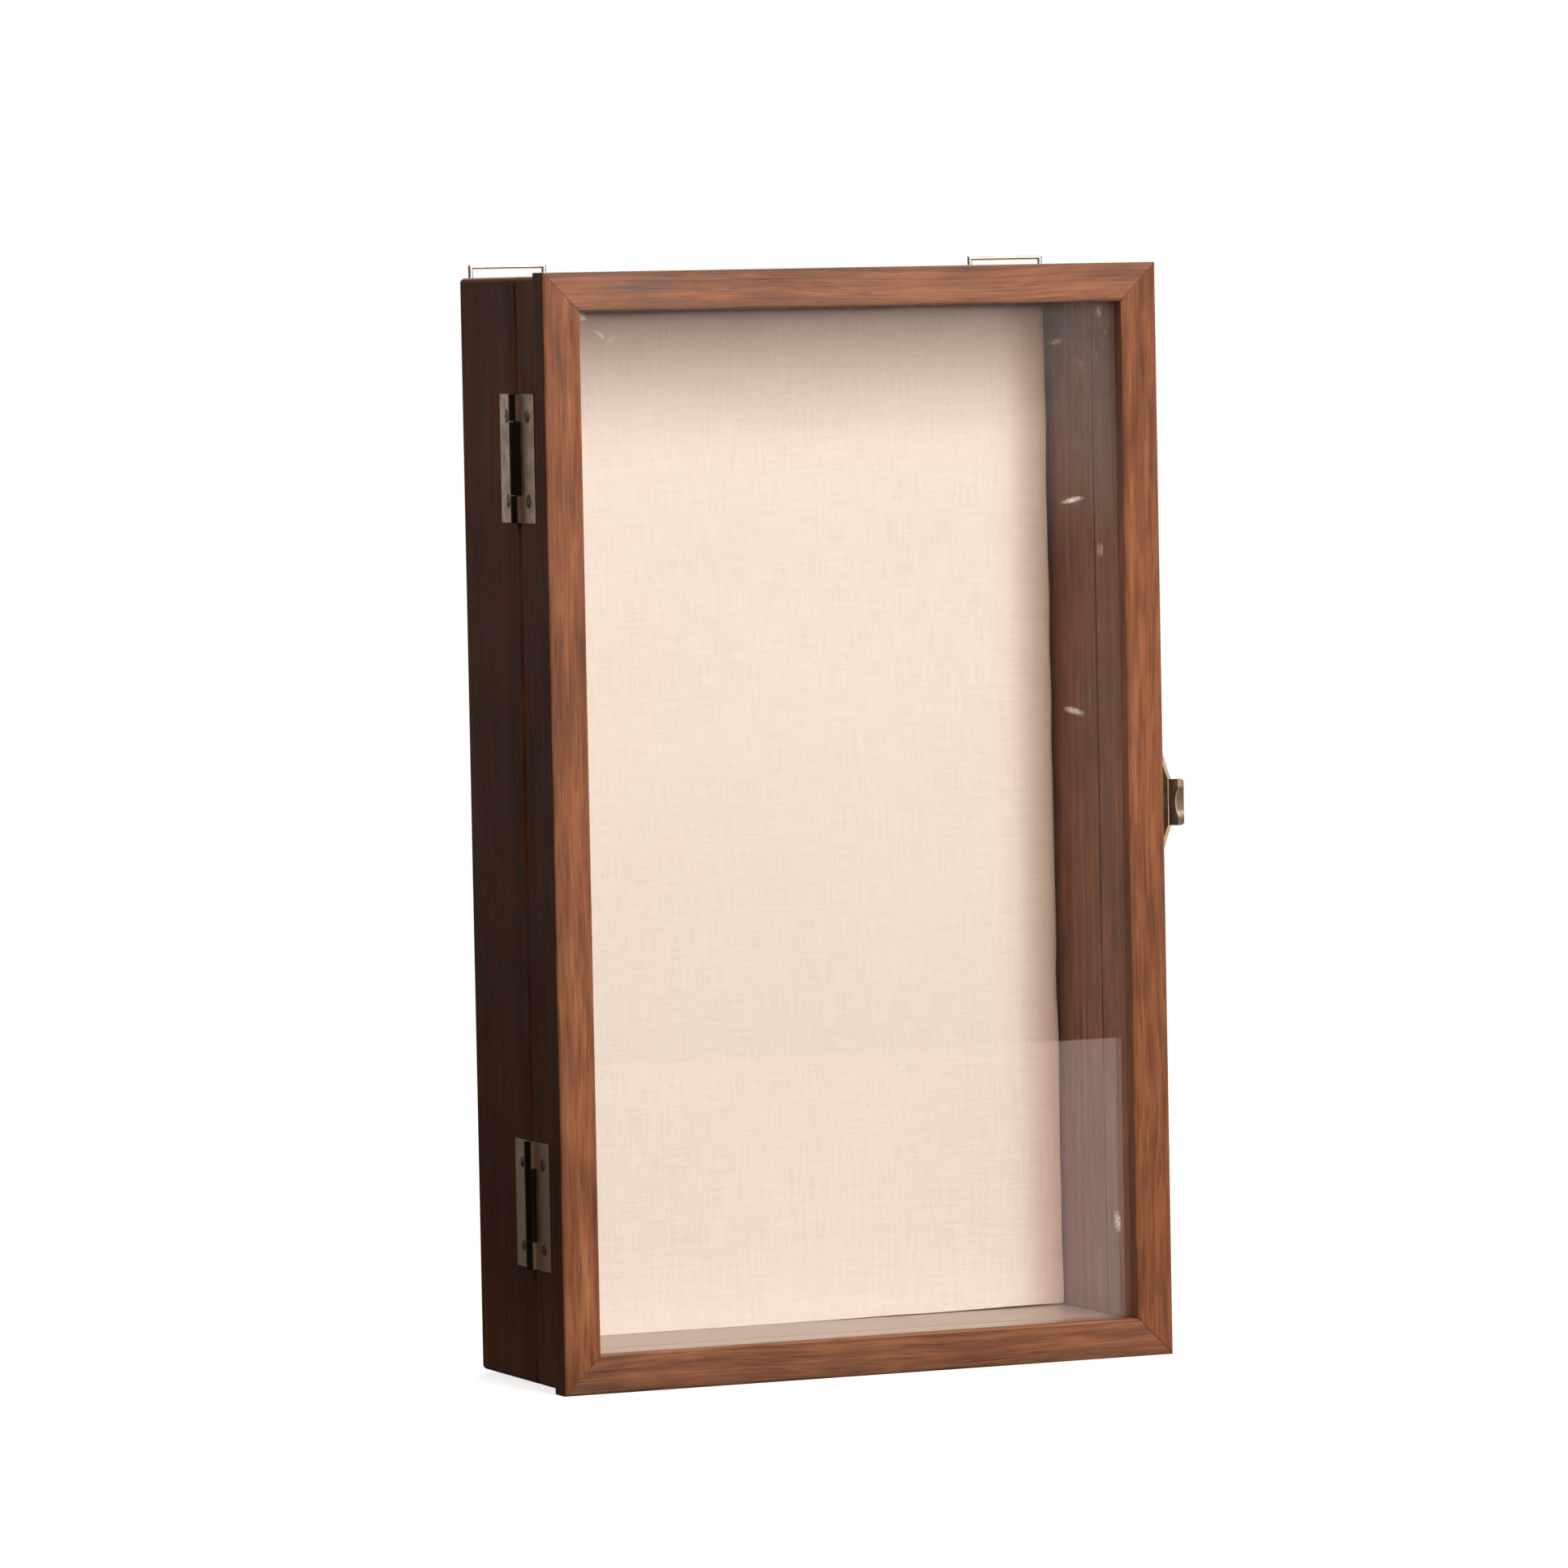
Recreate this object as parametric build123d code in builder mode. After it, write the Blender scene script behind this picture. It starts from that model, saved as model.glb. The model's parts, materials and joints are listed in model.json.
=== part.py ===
"""Enamel pin display case.

A shallow upright case of mitred hardwood with a glazed door hung on two small
brass butt hinges.  The door is a deep mitred frame with a thinner mitred face
frame glued over its front.  The glass sits in a rebate in the back of the face
frame and is held there by the deep frame.  A fabric-covered pin board lies
against the back panel.  A swinging hasp latch holds the door on the side away
from the hinges, and two ring hangers on the back carry the case on a wall.

Frame: +X right, -Y front, +Z up, millimetres.  The origin is at the middle of
the width and depth, on the underside of the case.  The face frame reaches a
little lower than that, because it stands proud of the case all round.
"""

import os

from build123d import *

# ---------------------------------------------------------------- case sizes
FACE_W = 198.0              # face frame, the widest wooden outline
FACE_H = 330.0
CASE_D = 70.0               # face frame front to case back
FACE_LIP = 1.0              # face frame stands this far proud of the case all round
FACE_T = 8.0                # face frame thickness
FACE_BAR = 11.5             # width of a face frame member
WALL = 9.5                  # case and door wall thickness
DOOR_D = 25.0               # door depth, face frame included
JOINT_GAP = 0.6             # between door and case
JOINT_CHAMFER = 1.0         # each side of the joint
CORNER_R = 1.6              # outer corners of the case
FACE_ROUND = 0.9            # outer front edge of the face frame
FACE_EASE = 0.4             # inner front edge of the face frame
BACK_EASE = 0.5             # outer back edge of the case

GLASS_T = 3.0
GLASS_PLAY = 0.2            # glass to wood, in front and behind
GLASS_EDGE_PLAY = 0.3       # glass to wood, all round its edge
GLASS_REBATE = 5.2          # width of the face frame's step for the glass

PANEL_T = 6.0               # plywood back panel
PANEL_REBATE = 5.0          # width of the step that the panel sits in
PANEL_PLAY = 0.2
BOARD_T = 9.0               # pin board with its fabric
BOARD_PLAY = 0.3
FABRIC_T = 0.7
FABRIC_TURN = 16.0          # fabric turned over behind the board

CASE_W = FACE_W - 2 * FACE_LIP
CASE_H = FACE_H - 2 * FACE_LIP
MID_Z = CASE_H / 2
INNER_W = CASE_W - 2 * WALL
INNER_H = CASE_H - 2 * WALL
SIGHT_W = FACE_W - 2 * FACE_BAR     # clear opening of the face frame
SIGHT_H = FACE_H - 2 * FACE_BAR

FRONT_Y = -CASE_D / 2
BACK_Y = CASE_D / 2
FACE_BACK_Y = FRONT_Y + FACE_T
GLASS_Y = FACE_BACK_Y - GLASS_PLAY - GLASS_T
JOINT_Y = FRONT_Y + DOOR_D
DOOR_BACK_Y = JOINT_Y - JOINT_GAP / 2
CASE_FRONT_Y = JOINT_Y + JOINT_GAP / 2
PANEL_Y = BACK_Y - PANEL_T
BOARD_Y = PANEL_Y - BOARD_T
LEFT_X = -CASE_W / 2
RIGHT_X = CASE_W / 2

# ---------------------------------------------------------------- hinges
HINGE_L = 38.0
HINGE_OPEN_W = 27.0         # over both leaves, laid flat
HINGE_INSET = 53.5          # hinge centre from the top and the bottom
HINGE_T = 1.0               # leaf thickness
HINGE_PROUD = 0.2           # leaf face above the wood
HINGE_AXIS_OUT = 0.4        # pin centre outside the case side
KNUCKLE_R = 2.2
KNUCKLE_END_L = 8.0         # each end knuckle, on the door leaf
KNUCKLE_GAP = 0.2
HINGE_PIN_R = 0.9
HINGE_RUN = 0.06            # running clearance of the door knuckles
HINGE_SEAT = 0.01           # tight clearance of the case knuckle
HINGE_COVE = 0.35           # room round the barrel in the wood
MORTISE_PLAY = 0.05
HINGE_SCREW_DY = 8.3        # screw line from the pin
HINGE_SCREW_DZ = 12.5       # screws above and below the middle

HINGE_X = LEFT_X - HINGE_AXIS_OUT
HINGE_ZS = {"upper": CASE_H - HINGE_INSET, "lower": HINGE_INSET}
KNUCKLE_MID_L = HINGE_L - 2 * (KNUCKLE_END_L + KNUCKLE_GAP)

# ---------------------------------------------------------------- latch
LATCH_Z = 166.0
LATCH_SPAN = 28.0           # over the pointed wings
WING_HOLLOW = 1.0           # depth of the curve on a wing's edge towards the barrel
WING_SWEEP = 0.5            # depth of the curve on its far edge
LATCH_T = 1.0               # plates screwed to the wood
LATCH_BARREL_D = 28.5       # barrel centre behind the face frame front
LATCH_BARREL_OUT = 3.1      # barrel centre outside the case side
LATCH_BARREL_R = 2.4
LATCH_BARREL_L = 14.0
LATCH_MID_L = 6.4           # middle knuckle, on the arm
LATCH_KNUCKLE_GAP = 0.2
LATCH_PIN_R = 0.7
LATCH_RUN = 0.06
LATCH_SEAT = 0.01
BASE_TIP_D = 32.9           # wing tips of the base plate
BASE_NECK_D = 40.6          # where its round rear end starts
BASE_BACK_D = 43.0          # rear tip of the base plate
BASE_END_W = 5.6            # width where the round end starts
ARM_T = 1.1
ARM_NECK_D = 25.1           # front end of the straight neck at the barrel
ARM_WAIST_D = 22.1          # where the arm widens to its wings
ARM_WAIST = 10.4            # width there
ARM_WING_D = 9.6            # wing tips
ARM_WING_HOLLOW = 1.6       # depth of the curve from waist to wing tip
ARM_NOSE_D = 4.6            # front shoulders of the arm
ARM_NOSE_HOLLOW = 0.3       # depth of the curve from wing tip to shoulder
ARM_BEND_D = 6.2            # where the arm starts to curl outwards
BEND_BACK_RISE = 2.0        # height of the curl above the arm, behind the lip
BEND_FRONT_RISE = 1.0       # the same in front of the lip
ARM_LIP_D = 2.0             # front of the finger lip
ARM_LIP_OUT = 8.8           # finger lip above the case side
ARM_LIP_W = 14.0
ARM_LIP_T = 1.7
LIP_CORNER_R = 1.6
LIP_DISH_R = 14.0           # dish across the front of the lip
LIP_DISH_OUT = 13.4         # centre of the dish in front of the lip
SLOT_D = 15.0               # slot and catch nose, behind the front
SLOT_L, SLOT_W = 4.0, 7.2
SLOT_CORNER_R = 0.6
NOSE_L, NOSE_W = 3.0, 6.0
NOSE_CORNER_R = 0.5
NOSE_EDGE = 0.45            # chamfer round the nose's top
NOSE_OUT = 4.1              # just under the arm
CATCH_SPAN = 26.0           # over the catch plate's wings
CATCH_FRONT_D, CATCH_TIP_D, CATCH_BACK_D = 9.6, 18.8, 23.4
CATCH_FRONT_W = 8.8         # width of the catch plate's front end
LATCH_SCREW_DZ = 9.4
BASE_SCREW_D = 32.0
CATCH_SCREW_D = 18.3

# ---------------------------------------------------------------- hangers
HANGER_IN = 17.0            # hanger centre from the face frame's side
RING_W = 25.0               # over the wire
RING_TOP = 3.0              # ring above the top of the face frame
RING_H = 12.3               # over the wire
RING_WIRE_R = 0.7
STRAP_W = 12.0
STRAP_SHEET = 0.8
STRAP_L = 15.5              # ring axis to the strap's round end
STRAP_RUN = 0.08
HANGER_SCREW_DZ = 7.0       # screw below the ring axis

STRAP_R = RING_WIRE_R + STRAP_RUN + STRAP_SHEET
RING_Y = BACK_Y + STRAP_R
RING_Z = CASE_H + FACE_LIP + RING_TOP - RING_H + RING_WIRE_R
HANGER_XS = {"left": -FACE_W / 2 + HANGER_IN, "right": FACE_W / 2 - HANGER_IN}

# ---------------------------------------------------------------- fasteners
PILOT_PLAY = 0.02           # room round a fastener in wood
SHANK_SIDES = 6             # screw shanks are plain six-sided rods, with no thread
HINGE_SHANK_R, HINGE_SHANK_L = 1.05, 7.6
HINGE_HEAD_R = HINGE_SHANK_R + HINGE_T      # the cone is as deep as the leaf
LATCH_HEAD_R, LATCH_HEAD_T, LATCH_SHANK_R, LATCH_SHANK_L = 1.6, 0.9, 0.8, 7.0
HANGER_HEAD_R, HANGER_HEAD_T, HANGER_SHANK_R, HANGER_SHANK_L = 2.5, 1.5, 1.2, 7.0
PANEL_PIN_W, PANEL_PIN_L = 1.4, 12.0        # square cut brads

SIDES = ("left", "right", "top", "bottom")


# ---------------------------------------------------------------- helpers
def front_plane(y):
    """Vertical plane at depth y that faces the front: local x is +X, local y is +Z."""
    return Plane.XZ.offset(-y)


def side_plane(x):
    """Vertical plane at x that faces +X: local x is +Y, local y is +Z."""
    return Plane.YZ.offset(x)


def depth_y(d):
    """Y of a point d behind the front of the face frame."""
    return FRONT_Y + d


def save(part, name):
    """Labels a finished piece and writes its STEP file."""
    part.label = name
    export_step(part, f"parts/{name}.step")


def wedge_outline(side, width, height, reach):
    """Corners of the trapezoid that one mitred member fills, seen from the front."""
    left, right = -width / 2, width / 2
    low, high = MID_Z - height / 2, MID_Z + height / 2
    inner_left, inner_right = left + reach, right - reach
    inner_low, inner_high = low + reach, high - reach
    return {
        "left": ((left, low), (inner_left, inner_low), (inner_left, inner_high), (left, high)),
        "right": ((right, low), (right, high), (inner_right, inner_high), (inner_right, inner_low)),
        "top": ((left, high), (inner_left, inner_high), (inner_right, inner_high), (right, high)),
        "bottom": ((left, low), (right, low), (inner_right, inner_low), (inner_left, inner_low)),
    }[side]


def mitred_member(frame, side, width, height, reach):
    """One of the four members that a mitred frame is cut into."""
    with BuildPart() as member:
        add(frame)
        with BuildSketch(front_plane(0)):
            with BuildLine():
                Polyline(*wedge_outline(side, width, height, reach), close=True)
            make_face()
        extrude(amount=CASE_D, both=True, mode=Mode.INTERSECT)
    return member.part


def without(board, *tools):
    """A board with the recesses and holes for its hardware cut out."""
    with BuildPart() as cut:
        add(board)
        for tool in tools:
            add(tool, mode=Mode.SUBTRACT)
    return cut.part


# ---------------------------------------------------------------- fasteners
def shank(radius, length, grow=0.0):
    """A screw's shank from z 0 down -Z, or the hole that it fills when it has grown by the play."""
    with BuildPart() as rod:
        with BuildSketch(Plane.XY.offset(grow)):
            RegularPolygon(radius + 2 * grow, SHANK_SIDES)
        extrude(amount=-length - 2 * grow)
    return rod.part


def countersink(grow=0.0):
    """A hinge screw's conical head, its face at z 0, as deep as the leaf."""
    with BuildPart() as head:
        with BuildSketch(Plane.XZ):
            with BuildLine():
                Polyline(
                    (0, 0),
                    (HINGE_HEAD_R + grow, 0),
                    (HINGE_SHANK_R + grow, -HINGE_T),
                    (0, -HINGE_T),
                    close=True,
                )
            make_face()
        revolve(axis=Axis.Z)
    return head.part


def hinge_screw():
    """Flat-head wood screw, its head's face at z 0 and its shank down -Z."""
    with BuildPart() as screw:
        add(countersink())
        add(shank(HINGE_SHANK_R, HINGE_SHANK_L))
    return screw.part


def round_head_screw(head_r, head_t, shank_r, shank_l):
    """Wood screw with the underside of its head at z 0 and its shank down -Z."""
    with BuildPart() as screw:
        Cylinder(head_r, head_t, align=(Align.CENTER, Align.CENTER, Align.MIN))
        add(shank(shank_r, shank_l))
    return screw.part


def panel_pin(grow=0.0):
    """Square brad, its end at z 0 and its shank down -Z."""
    width, length = PANEL_PIN_W + 2 * grow, PANEL_PIN_L + 2 * grow
    with BuildPart() as pin:
        with Locations((0, 0, -PANEL_PIN_L / 2)):
            Box(width, width, length)
    return pin.part


def at_places(fastener, places):
    """Copies of a fastener at each place, as one node of separate solids."""
    with BuildPart() as group:
        with Locations(*places):
            add(fastener)
    return group.part


def left_facing(y, z, proud):
    """Place on the left side for a fastener whose head faces -X."""
    return Plane(origin=(LEFT_X - proud, y, z), x_dir=(0, 1, 0), z_dir=(-1, 0, 0)).location


def right_facing(y, z, proud):
    """Place on the right side for a fastener whose head faces +X."""
    return Plane(origin=(RIGHT_X + proud, y, z), x_dir=(0, 1, 0), z_dir=(1, 0, 0)).location


def back_facing(x, z, proud):
    """Place on the back for a fastener whose head faces +Y."""
    return Plane(origin=(x, BACK_Y + proud, z), x_dir=(1, 0, 0), z_dir=(0, 1, 0)).location


# each fastener, and the hole that it fills with its play
HINGE_SCREW = hinge_screw()
HINGE_COUNTERSINK = countersink(PILOT_PLAY)
HINGE_HOLE = shank(HINGE_SHANK_R, HINGE_SHANK_L, PILOT_PLAY)
LATCH_SCREW = round_head_screw(LATCH_HEAD_R, LATCH_HEAD_T, LATCH_SHANK_R, LATCH_SHANK_L)
LATCH_HOLE = shank(LATCH_SHANK_R, LATCH_SHANK_L, PILOT_PLAY)
HANGER_SCREW = round_head_screw(HANGER_HEAD_R, HANGER_HEAD_T, HANGER_SHANK_R, HANGER_SHANK_L)
HANGER_HOLE = shank(HANGER_SHANK_R, HANGER_SHANK_L, PILOT_PLAY)
PANEL_PIN = panel_pin()
PANEL_PIN_HOLE = panel_pin(grow=PILOT_PLAY)


def hinge_screw_places(towards_case):
    """Places of the four screws of the case leaves, or of the door leaves."""
    y = JOINT_Y + (HINGE_SCREW_DY if towards_case else -HINGE_SCREW_DY)
    return [
        left_facing(y, z + dz, HINGE_PROUD)
        for z in HINGE_ZS.values()
        for dz in (-HINGE_SCREW_DZ, HINGE_SCREW_DZ)
    ]


def latch_screw_places(d):
    """Places of the two screws of a latch plate, d behind the front."""
    return [
        right_facing(depth_y(d), LATCH_Z + dz, LATCH_T)
        for dz in (-LATCH_SCREW_DZ, LATCH_SCREW_DZ)
    ]


def panel_pin_places():
    """Places of the panel pins, one in the middle of each edge."""
    edge_dx = CASE_W / 2 - WALL + PANEL_REBATE / 2
    edge_dz = CASE_H / 2 - WALL + PANEL_REBATE / 2
    return [
        back_facing(dx, MID_Z + dz, 0)
        for dx, dz in ((-edge_dx, 0), (edge_dx, 0), (0, -edge_dz), (0, edge_dz))
    ]


# ---------------------------------------------------------------- wooden frames
def rectangle_ring(outer, inner, y_front, y_back, corner_r=0.0):
    """A plain upright frame between two depths, outer and inner being (width, height)."""
    with BuildPart() as frame:
        with BuildSketch(front_plane(y_back).shift_origin((0, y_back, MID_Z))):
            if corner_r:
                RectangleRounded(*outer, corner_r)
            else:
                Rectangle(*outer)
            Rectangle(*inner, mode=Mode.SUBTRACT)
        extrude(amount=y_back - y_front)
    return frame.part


def block(width, height, y_front, y_back):
    """A plain upright slab between two depths, centred on the case."""
    with BuildPart() as slab:
        with BuildSketch(front_plane(y_back).shift_origin((0, y_back, MID_Z))):
            Rectangle(width, height)
        extrude(amount=y_back - y_front)
    return slab.part


def case_frame():
    """The four walls of the case before they are cut at the mitres."""
    rebate_w, rebate_h = INNER_W + 2 * PANEL_REBATE, INNER_H + 2 * PANEL_REBATE
    with BuildPart() as frame:
        add(rectangle_ring((CASE_W, CASE_H), (INNER_W, INNER_H), CASE_FRONT_Y, BACK_Y, CORNER_R))
        add(block(rebate_w, rebate_h, PANEL_Y, BACK_Y), mode=Mode.SUBTRACT)
        front = frame.faces().filter_by(Axis.Y).sort_by(Axis.Y)[0]
        chamfer(front.outer_wire().edges(), JOINT_CHAMFER)
        back = frame.faces().filter_by(Axis.Y).sort_by(Axis.Y)[-1]
        chamfer(back.outer_wire().edges(), BACK_EASE)
    return frame.part


def door_frame():
    """The four walls of the door behind the face frame, before they are cut at the mitres."""
    with BuildPart() as frame:
        add(
            rectangle_ring((CASE_W, CASE_H), (INNER_W, INNER_H), FACE_BACK_Y, DOOR_BACK_Y, CORNER_R)
        )
        back = frame.faces().filter_by(Axis.Y).sort_by(Axis.Y)[-1]
        chamfer(back.outer_wire().edges(), JOINT_CHAMFER)
    return frame.part


def face_frame():
    """The face frame over the front of the door, rebated for the glass, before it is cut at the mitres."""
    rebate_w, rebate_h = SIGHT_W + 2 * GLASS_REBATE, SIGHT_H + 2 * GLASS_REBATE
    with BuildPart() as frame:
        add(rectangle_ring((FACE_W, FACE_H), (SIGHT_W, SIGHT_H), FRONT_Y, FACE_BACK_Y))
        add(block(rebate_w, rebate_h, GLASS_Y - GLASS_PLAY, FACE_BACK_Y), mode=Mode.SUBTRACT)
        front = frame.faces().filter_by(Axis.Y).sort_by(Axis.Y)[0]
        fillet(front.outer_wire().edges(), FACE_ROUND)
        front = frame.faces().filter_by(Axis.Y).sort_by(Axis.Y)[0]
        chamfer(front.inner_wires()[0].edges(), FACE_EASE)
    return frame.part


# ---------------------------------------------------------------- hinges
def hinge_plane(x, z):
    """Plane at x that faces +X, centred on a hinge: local x is +Y from the pin, local y is up."""
    return side_plane(x).shift_origin((x, JOINT_Y, z))


def leaf_sketch(towards_case, grow=0.0):
    """Flat outline of a hinge leaf on the case side: local x is +Y from the pin."""
    leaf_w, leaf_h = HINGE_OPEN_W / 2 + grow, HINGE_L + 2 * grow
    with BuildSketch() as outline:
        with Locations(((leaf_w if towards_case else -leaf_w) / 2, 0)):
            Rectangle(leaf_w, leaf_h)
    return outline.sketch


def hinge_barrel(z, radius, length):
    """A cylinder on a hinge's pin line, centred at height z."""
    with BuildPart() as barrel:
        with Locations((HINGE_X, JOINT_Y, z)):
            Cylinder(radius, length)
    return barrel.part


def hinge_leaf(z, towards_case):
    """A leaf and its knuckles: a long middle one on the case leaf, two end ones on the door leaf."""
    end_dz = (HINGE_L - KNUCKLE_END_L) / 2
    end_knuckles = [(KNUCKLE_END_L, -end_dz), (KNUCKLE_END_L, end_dz)]
    mid_knuckle = [(KNUCKLE_MID_L, 0)]
    own, other = (mid_knuckle, end_knuckles) if towards_case else (end_knuckles, mid_knuckle)
    bore = HINGE_PIN_R + (HINGE_SEAT if towards_case else HINGE_RUN)
    notch_w = 2 * (KNUCKLE_R + KNUCKLE_GAP)
    leaf_x = LEFT_X - HINGE_PROUD
    with BuildPart() as leaf:
        with BuildSketch(hinge_plane(leaf_x, z)):
            add(leaf_sketch(towards_case))
            for length, dz in other:
                with Locations((0, dz)):
                    Rectangle(notch_w, length + 2 * KNUCKLE_GAP, mode=Mode.SUBTRACT)
        extrude(amount=HINGE_T)
        for length, dz in own:
            add(hinge_barrel(z + dz, KNUCKLE_R, length))
        add(hinge_barrel(z, bore, 2 * HINGE_L), mode=Mode.SUBTRACT)
        add(at_places(HINGE_COUNTERSINK, hinge_screw_places(towards_case)), mode=Mode.SUBTRACT)
    return leaf.part


def hinge_pin(z):
    """The plain pin, flush with the ends of the barrel."""
    return hinge_barrel(z, HINGE_PIN_R, HINGE_L)


def hinge_recesses(towards_case):
    """What the hinges take out of a left-hand wall: mortises, coves for the barrels and screw holes."""
    with BuildPart() as recesses:
        for z in HINGE_ZS.values():
            with BuildSketch(hinge_plane(LEFT_X - HINGE_T, z)):
                add(leaf_sketch(towards_case, grow=MORTISE_PLAY))
            extrude(amount=2 * HINGE_T - HINGE_PROUD)
            add(hinge_barrel(z, KNUCKLE_R + HINGE_COVE, HINGE_L + 2 * HINGE_COVE))
        add(at_places(HINGE_HOLE, hinge_screw_places(towards_case)))
    return recesses.part


# ---------------------------------------------------------------- latch
def latch_barrel(radius, length, dz=0.0):
    """A cylinder on the latch's pin line."""
    with BuildPart() as barrel:
        with Locations((RIGHT_X + LATCH_BARREL_OUT, depth_y(LATCH_BARREL_D), LATCH_Z + dz)):
            Cylinder(radius, length)
    return barrel.part


def latch_plane(out):
    """Plane at that height above the right side: local x is distance behind the front, local y is up."""
    x = RIGHT_X + out
    return side_plane(x).shift_origin((x, FRONT_Y, LATCH_Z))


def base_outline():
    """The base plate's outline: two swept wings and a round rear end."""
    tip, shoulder, end = LATCH_SPAN / 2, LATCH_BARREL_L / 2, BASE_END_W / 2
    with BuildSketch() as outline:
        with BuildLine() as edge:
            Line((LATCH_BARREL_D, 0), (LATCH_BARREL_D, shoulder))
            SagittaArc((LATCH_BARREL_D, shoulder), (BASE_TIP_D, tip), WING_HOLLOW)
            SagittaArc((BASE_TIP_D, tip), (BASE_NECK_D, end), -WING_SWEEP)
            mirror(edge.line, about=Plane.XZ)
            ThreePointArc((BASE_NECK_D, end), (BASE_BACK_D, 0), (BASE_NECK_D, -end))
        make_face()
    return outline.sketch


def latch_base():
    """Base plate of the hasp, with two knuckles, screwed to the case."""
    end_l = (LATCH_BARREL_L - LATCH_MID_L) / 2 - LATCH_KNUCKLE_GAP
    end_dz = (LATCH_BARREL_L - end_l) / 2
    notch_r, notch_l = LATCH_BARREL_R + LATCH_KNUCKLE_GAP, LATCH_MID_L + 2 * LATCH_KNUCKLE_GAP
    with BuildPart() as plate:
        with BuildSketch(latch_plane(0)):
            add(base_outline())
        extrude(amount=LATCH_T)
        add(latch_barrel(notch_r, notch_l), mode=Mode.SUBTRACT)
        for dz in (-end_dz, end_dz):
            add(latch_barrel(LATCH_BARREL_R, end_l, dz))
            with BuildSketch(latch_plane(0)):
                with Locations((LATCH_BARREL_D + LATCH_BARREL_R / 2, dz)):
                    Rectangle(LATCH_BARREL_R, end_l)
            extrude(amount=LATCH_BARREL_OUT)
        add(latch_barrel(LATCH_PIN_R + LATCH_SEAT, 2 * LATCH_BARREL_L), mode=Mode.SUBTRACT)
        add(at_places(LATCH_HOLE, latch_screw_places(BASE_SCREW_D)), mode=Mode.SUBTRACT)
    return plate.part


def arm_outline():
    """The arm's flat outline: a straight neck, swept wings, and shoulders for the lip."""
    tip, lip, waist, neck = LATCH_SPAN / 2, ARM_LIP_W / 2, ARM_WAIST / 2, LATCH_MID_L / 2
    with BuildSketch() as outline:
        with BuildLine() as edge:
            Polyline(
                (LATCH_BARREL_D, 0), (LATCH_BARREL_D, neck), (ARM_NECK_D, neck), (ARM_WAIST_D, waist)
            )
            SagittaArc((ARM_WAIST_D, waist), (ARM_WING_D, tip), ARM_WING_HOLLOW)
            SagittaArc((ARM_WING_D, tip), (ARM_NOSE_D, lip), ARM_NOSE_HOLLOW)
            Line((ARM_NOSE_D, lip), (ARM_NOSE_D, 0))
            mirror(edge.line, about=Plane.XZ)
        make_face()
    return outline.sketch


def lip_profile(inner, outer):
    """Side section of the finger lip, as (distance behind the front, height above the case side)."""
    front, back = ARM_LIP_D, ARM_LIP_D + ARM_LIP_T
    shoulder = ARM_LIP_OUT - ARM_LIP_T / 2
    towards_front = (-1, 0)
    with BuildSketch() as profile:
        with BuildLine():
            Line((ARM_BEND_D, inner), (ARM_BEND_D, outer))
            TangentArc((ARM_BEND_D, outer), (back, outer + BEND_BACK_RISE), tangent=towards_front)
            Line((back, outer + BEND_BACK_RISE), (back, shoulder))
            ThreePointArc((back, shoulder), ((front + back) / 2, ARM_LIP_OUT), (front, shoulder))
            Line((front, shoulder), (front, outer + BEND_FRONT_RISE))
            TangentArc((ARM_BEND_D, inner), (front, outer + BEND_FRONT_RISE), tangent=towards_front)
        make_face()
    return profile.sketch


def lip_blank(inner, outer):
    """The finger lip with rounded corners and a shallow dish down its front."""
    side_section = Plane(origin=(RIGHT_X, FRONT_Y, LATCH_Z), x_dir=(0, 1, 0), z_dir=(0, 0, -1))
    dish_axis = (RIGHT_X, depth_y(ARM_LIP_D - LIP_DISH_OUT), LATCH_Z)
    with BuildPart() as lip:
        with BuildSketch(side_section):
            add(lip_profile(inner, outer))
        extrude(amount=ARM_LIP_W / 2, both=True)
        with BuildSketch(front_plane(JOINT_Y).shift_origin((RIGHT_X, JOINT_Y, LATCH_Z))):
            RectangleRounded(2 * ARM_LIP_OUT, ARM_LIP_W, LIP_CORNER_R)
        extrude(amount=DOOR_D, mode=Mode.INTERSECT)
        with BuildSketch(Plane(origin=dish_axis, z_dir=(1, 0, 0))):
            Circle(LIP_DISH_R)
        extrude(amount=2 * ARM_LIP_OUT, mode=Mode.SUBTRACT)
    return lip.part


def latch_arm():
    """The swinging arm: middle knuckle, slotted plate with wings, and a curled, dished finger lip."""
    outer = LATCH_BARREL_OUT + LATCH_BARREL_R
    inner = outer - ARM_T
    with BuildPart() as arm:
        add(lip_blank(inner, outer))
        with BuildSketch(latch_plane(inner)):
            add(arm_outline())
            with Locations((SLOT_D, 0)):
                RectangleRounded(SLOT_L, SLOT_W, SLOT_CORNER_R, mode=Mode.SUBTRACT)
        extrude(amount=ARM_T)
        add(latch_barrel(LATCH_BARREL_R, LATCH_MID_L))
        add(latch_barrel(LATCH_PIN_R + LATCH_RUN, 2 * LATCH_BARREL_L), mode=Mode.SUBTRACT)
    return arm.part


def latch_pin():
    """The pin through the hasp's knuckles."""
    return latch_barrel(LATCH_PIN_R, LATCH_BARREL_L)


def catch_outline():
    """The catch plate's outline: swept wings that answer those of the base plate."""
    tip, shoulder, front = CATCH_SPAN / 2, LATCH_BARREL_L / 2, CATCH_FRONT_W / 2
    with BuildSketch() as outline:
        with BuildLine() as edge:
            Line((CATCH_BACK_D, 0), (CATCH_BACK_D, shoulder))
            SagittaArc((CATCH_BACK_D, shoulder), (CATCH_TIP_D, tip), -WING_HOLLOW)
            SagittaArc((CATCH_TIP_D, tip), (CATCH_FRONT_D, front), WING_SWEEP)
            Line((CATCH_FRONT_D, front), (CATCH_FRONT_D, 0))
            mirror(edge.line, about=Plane.XZ)
        make_face()
    return outline.sketch


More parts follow.
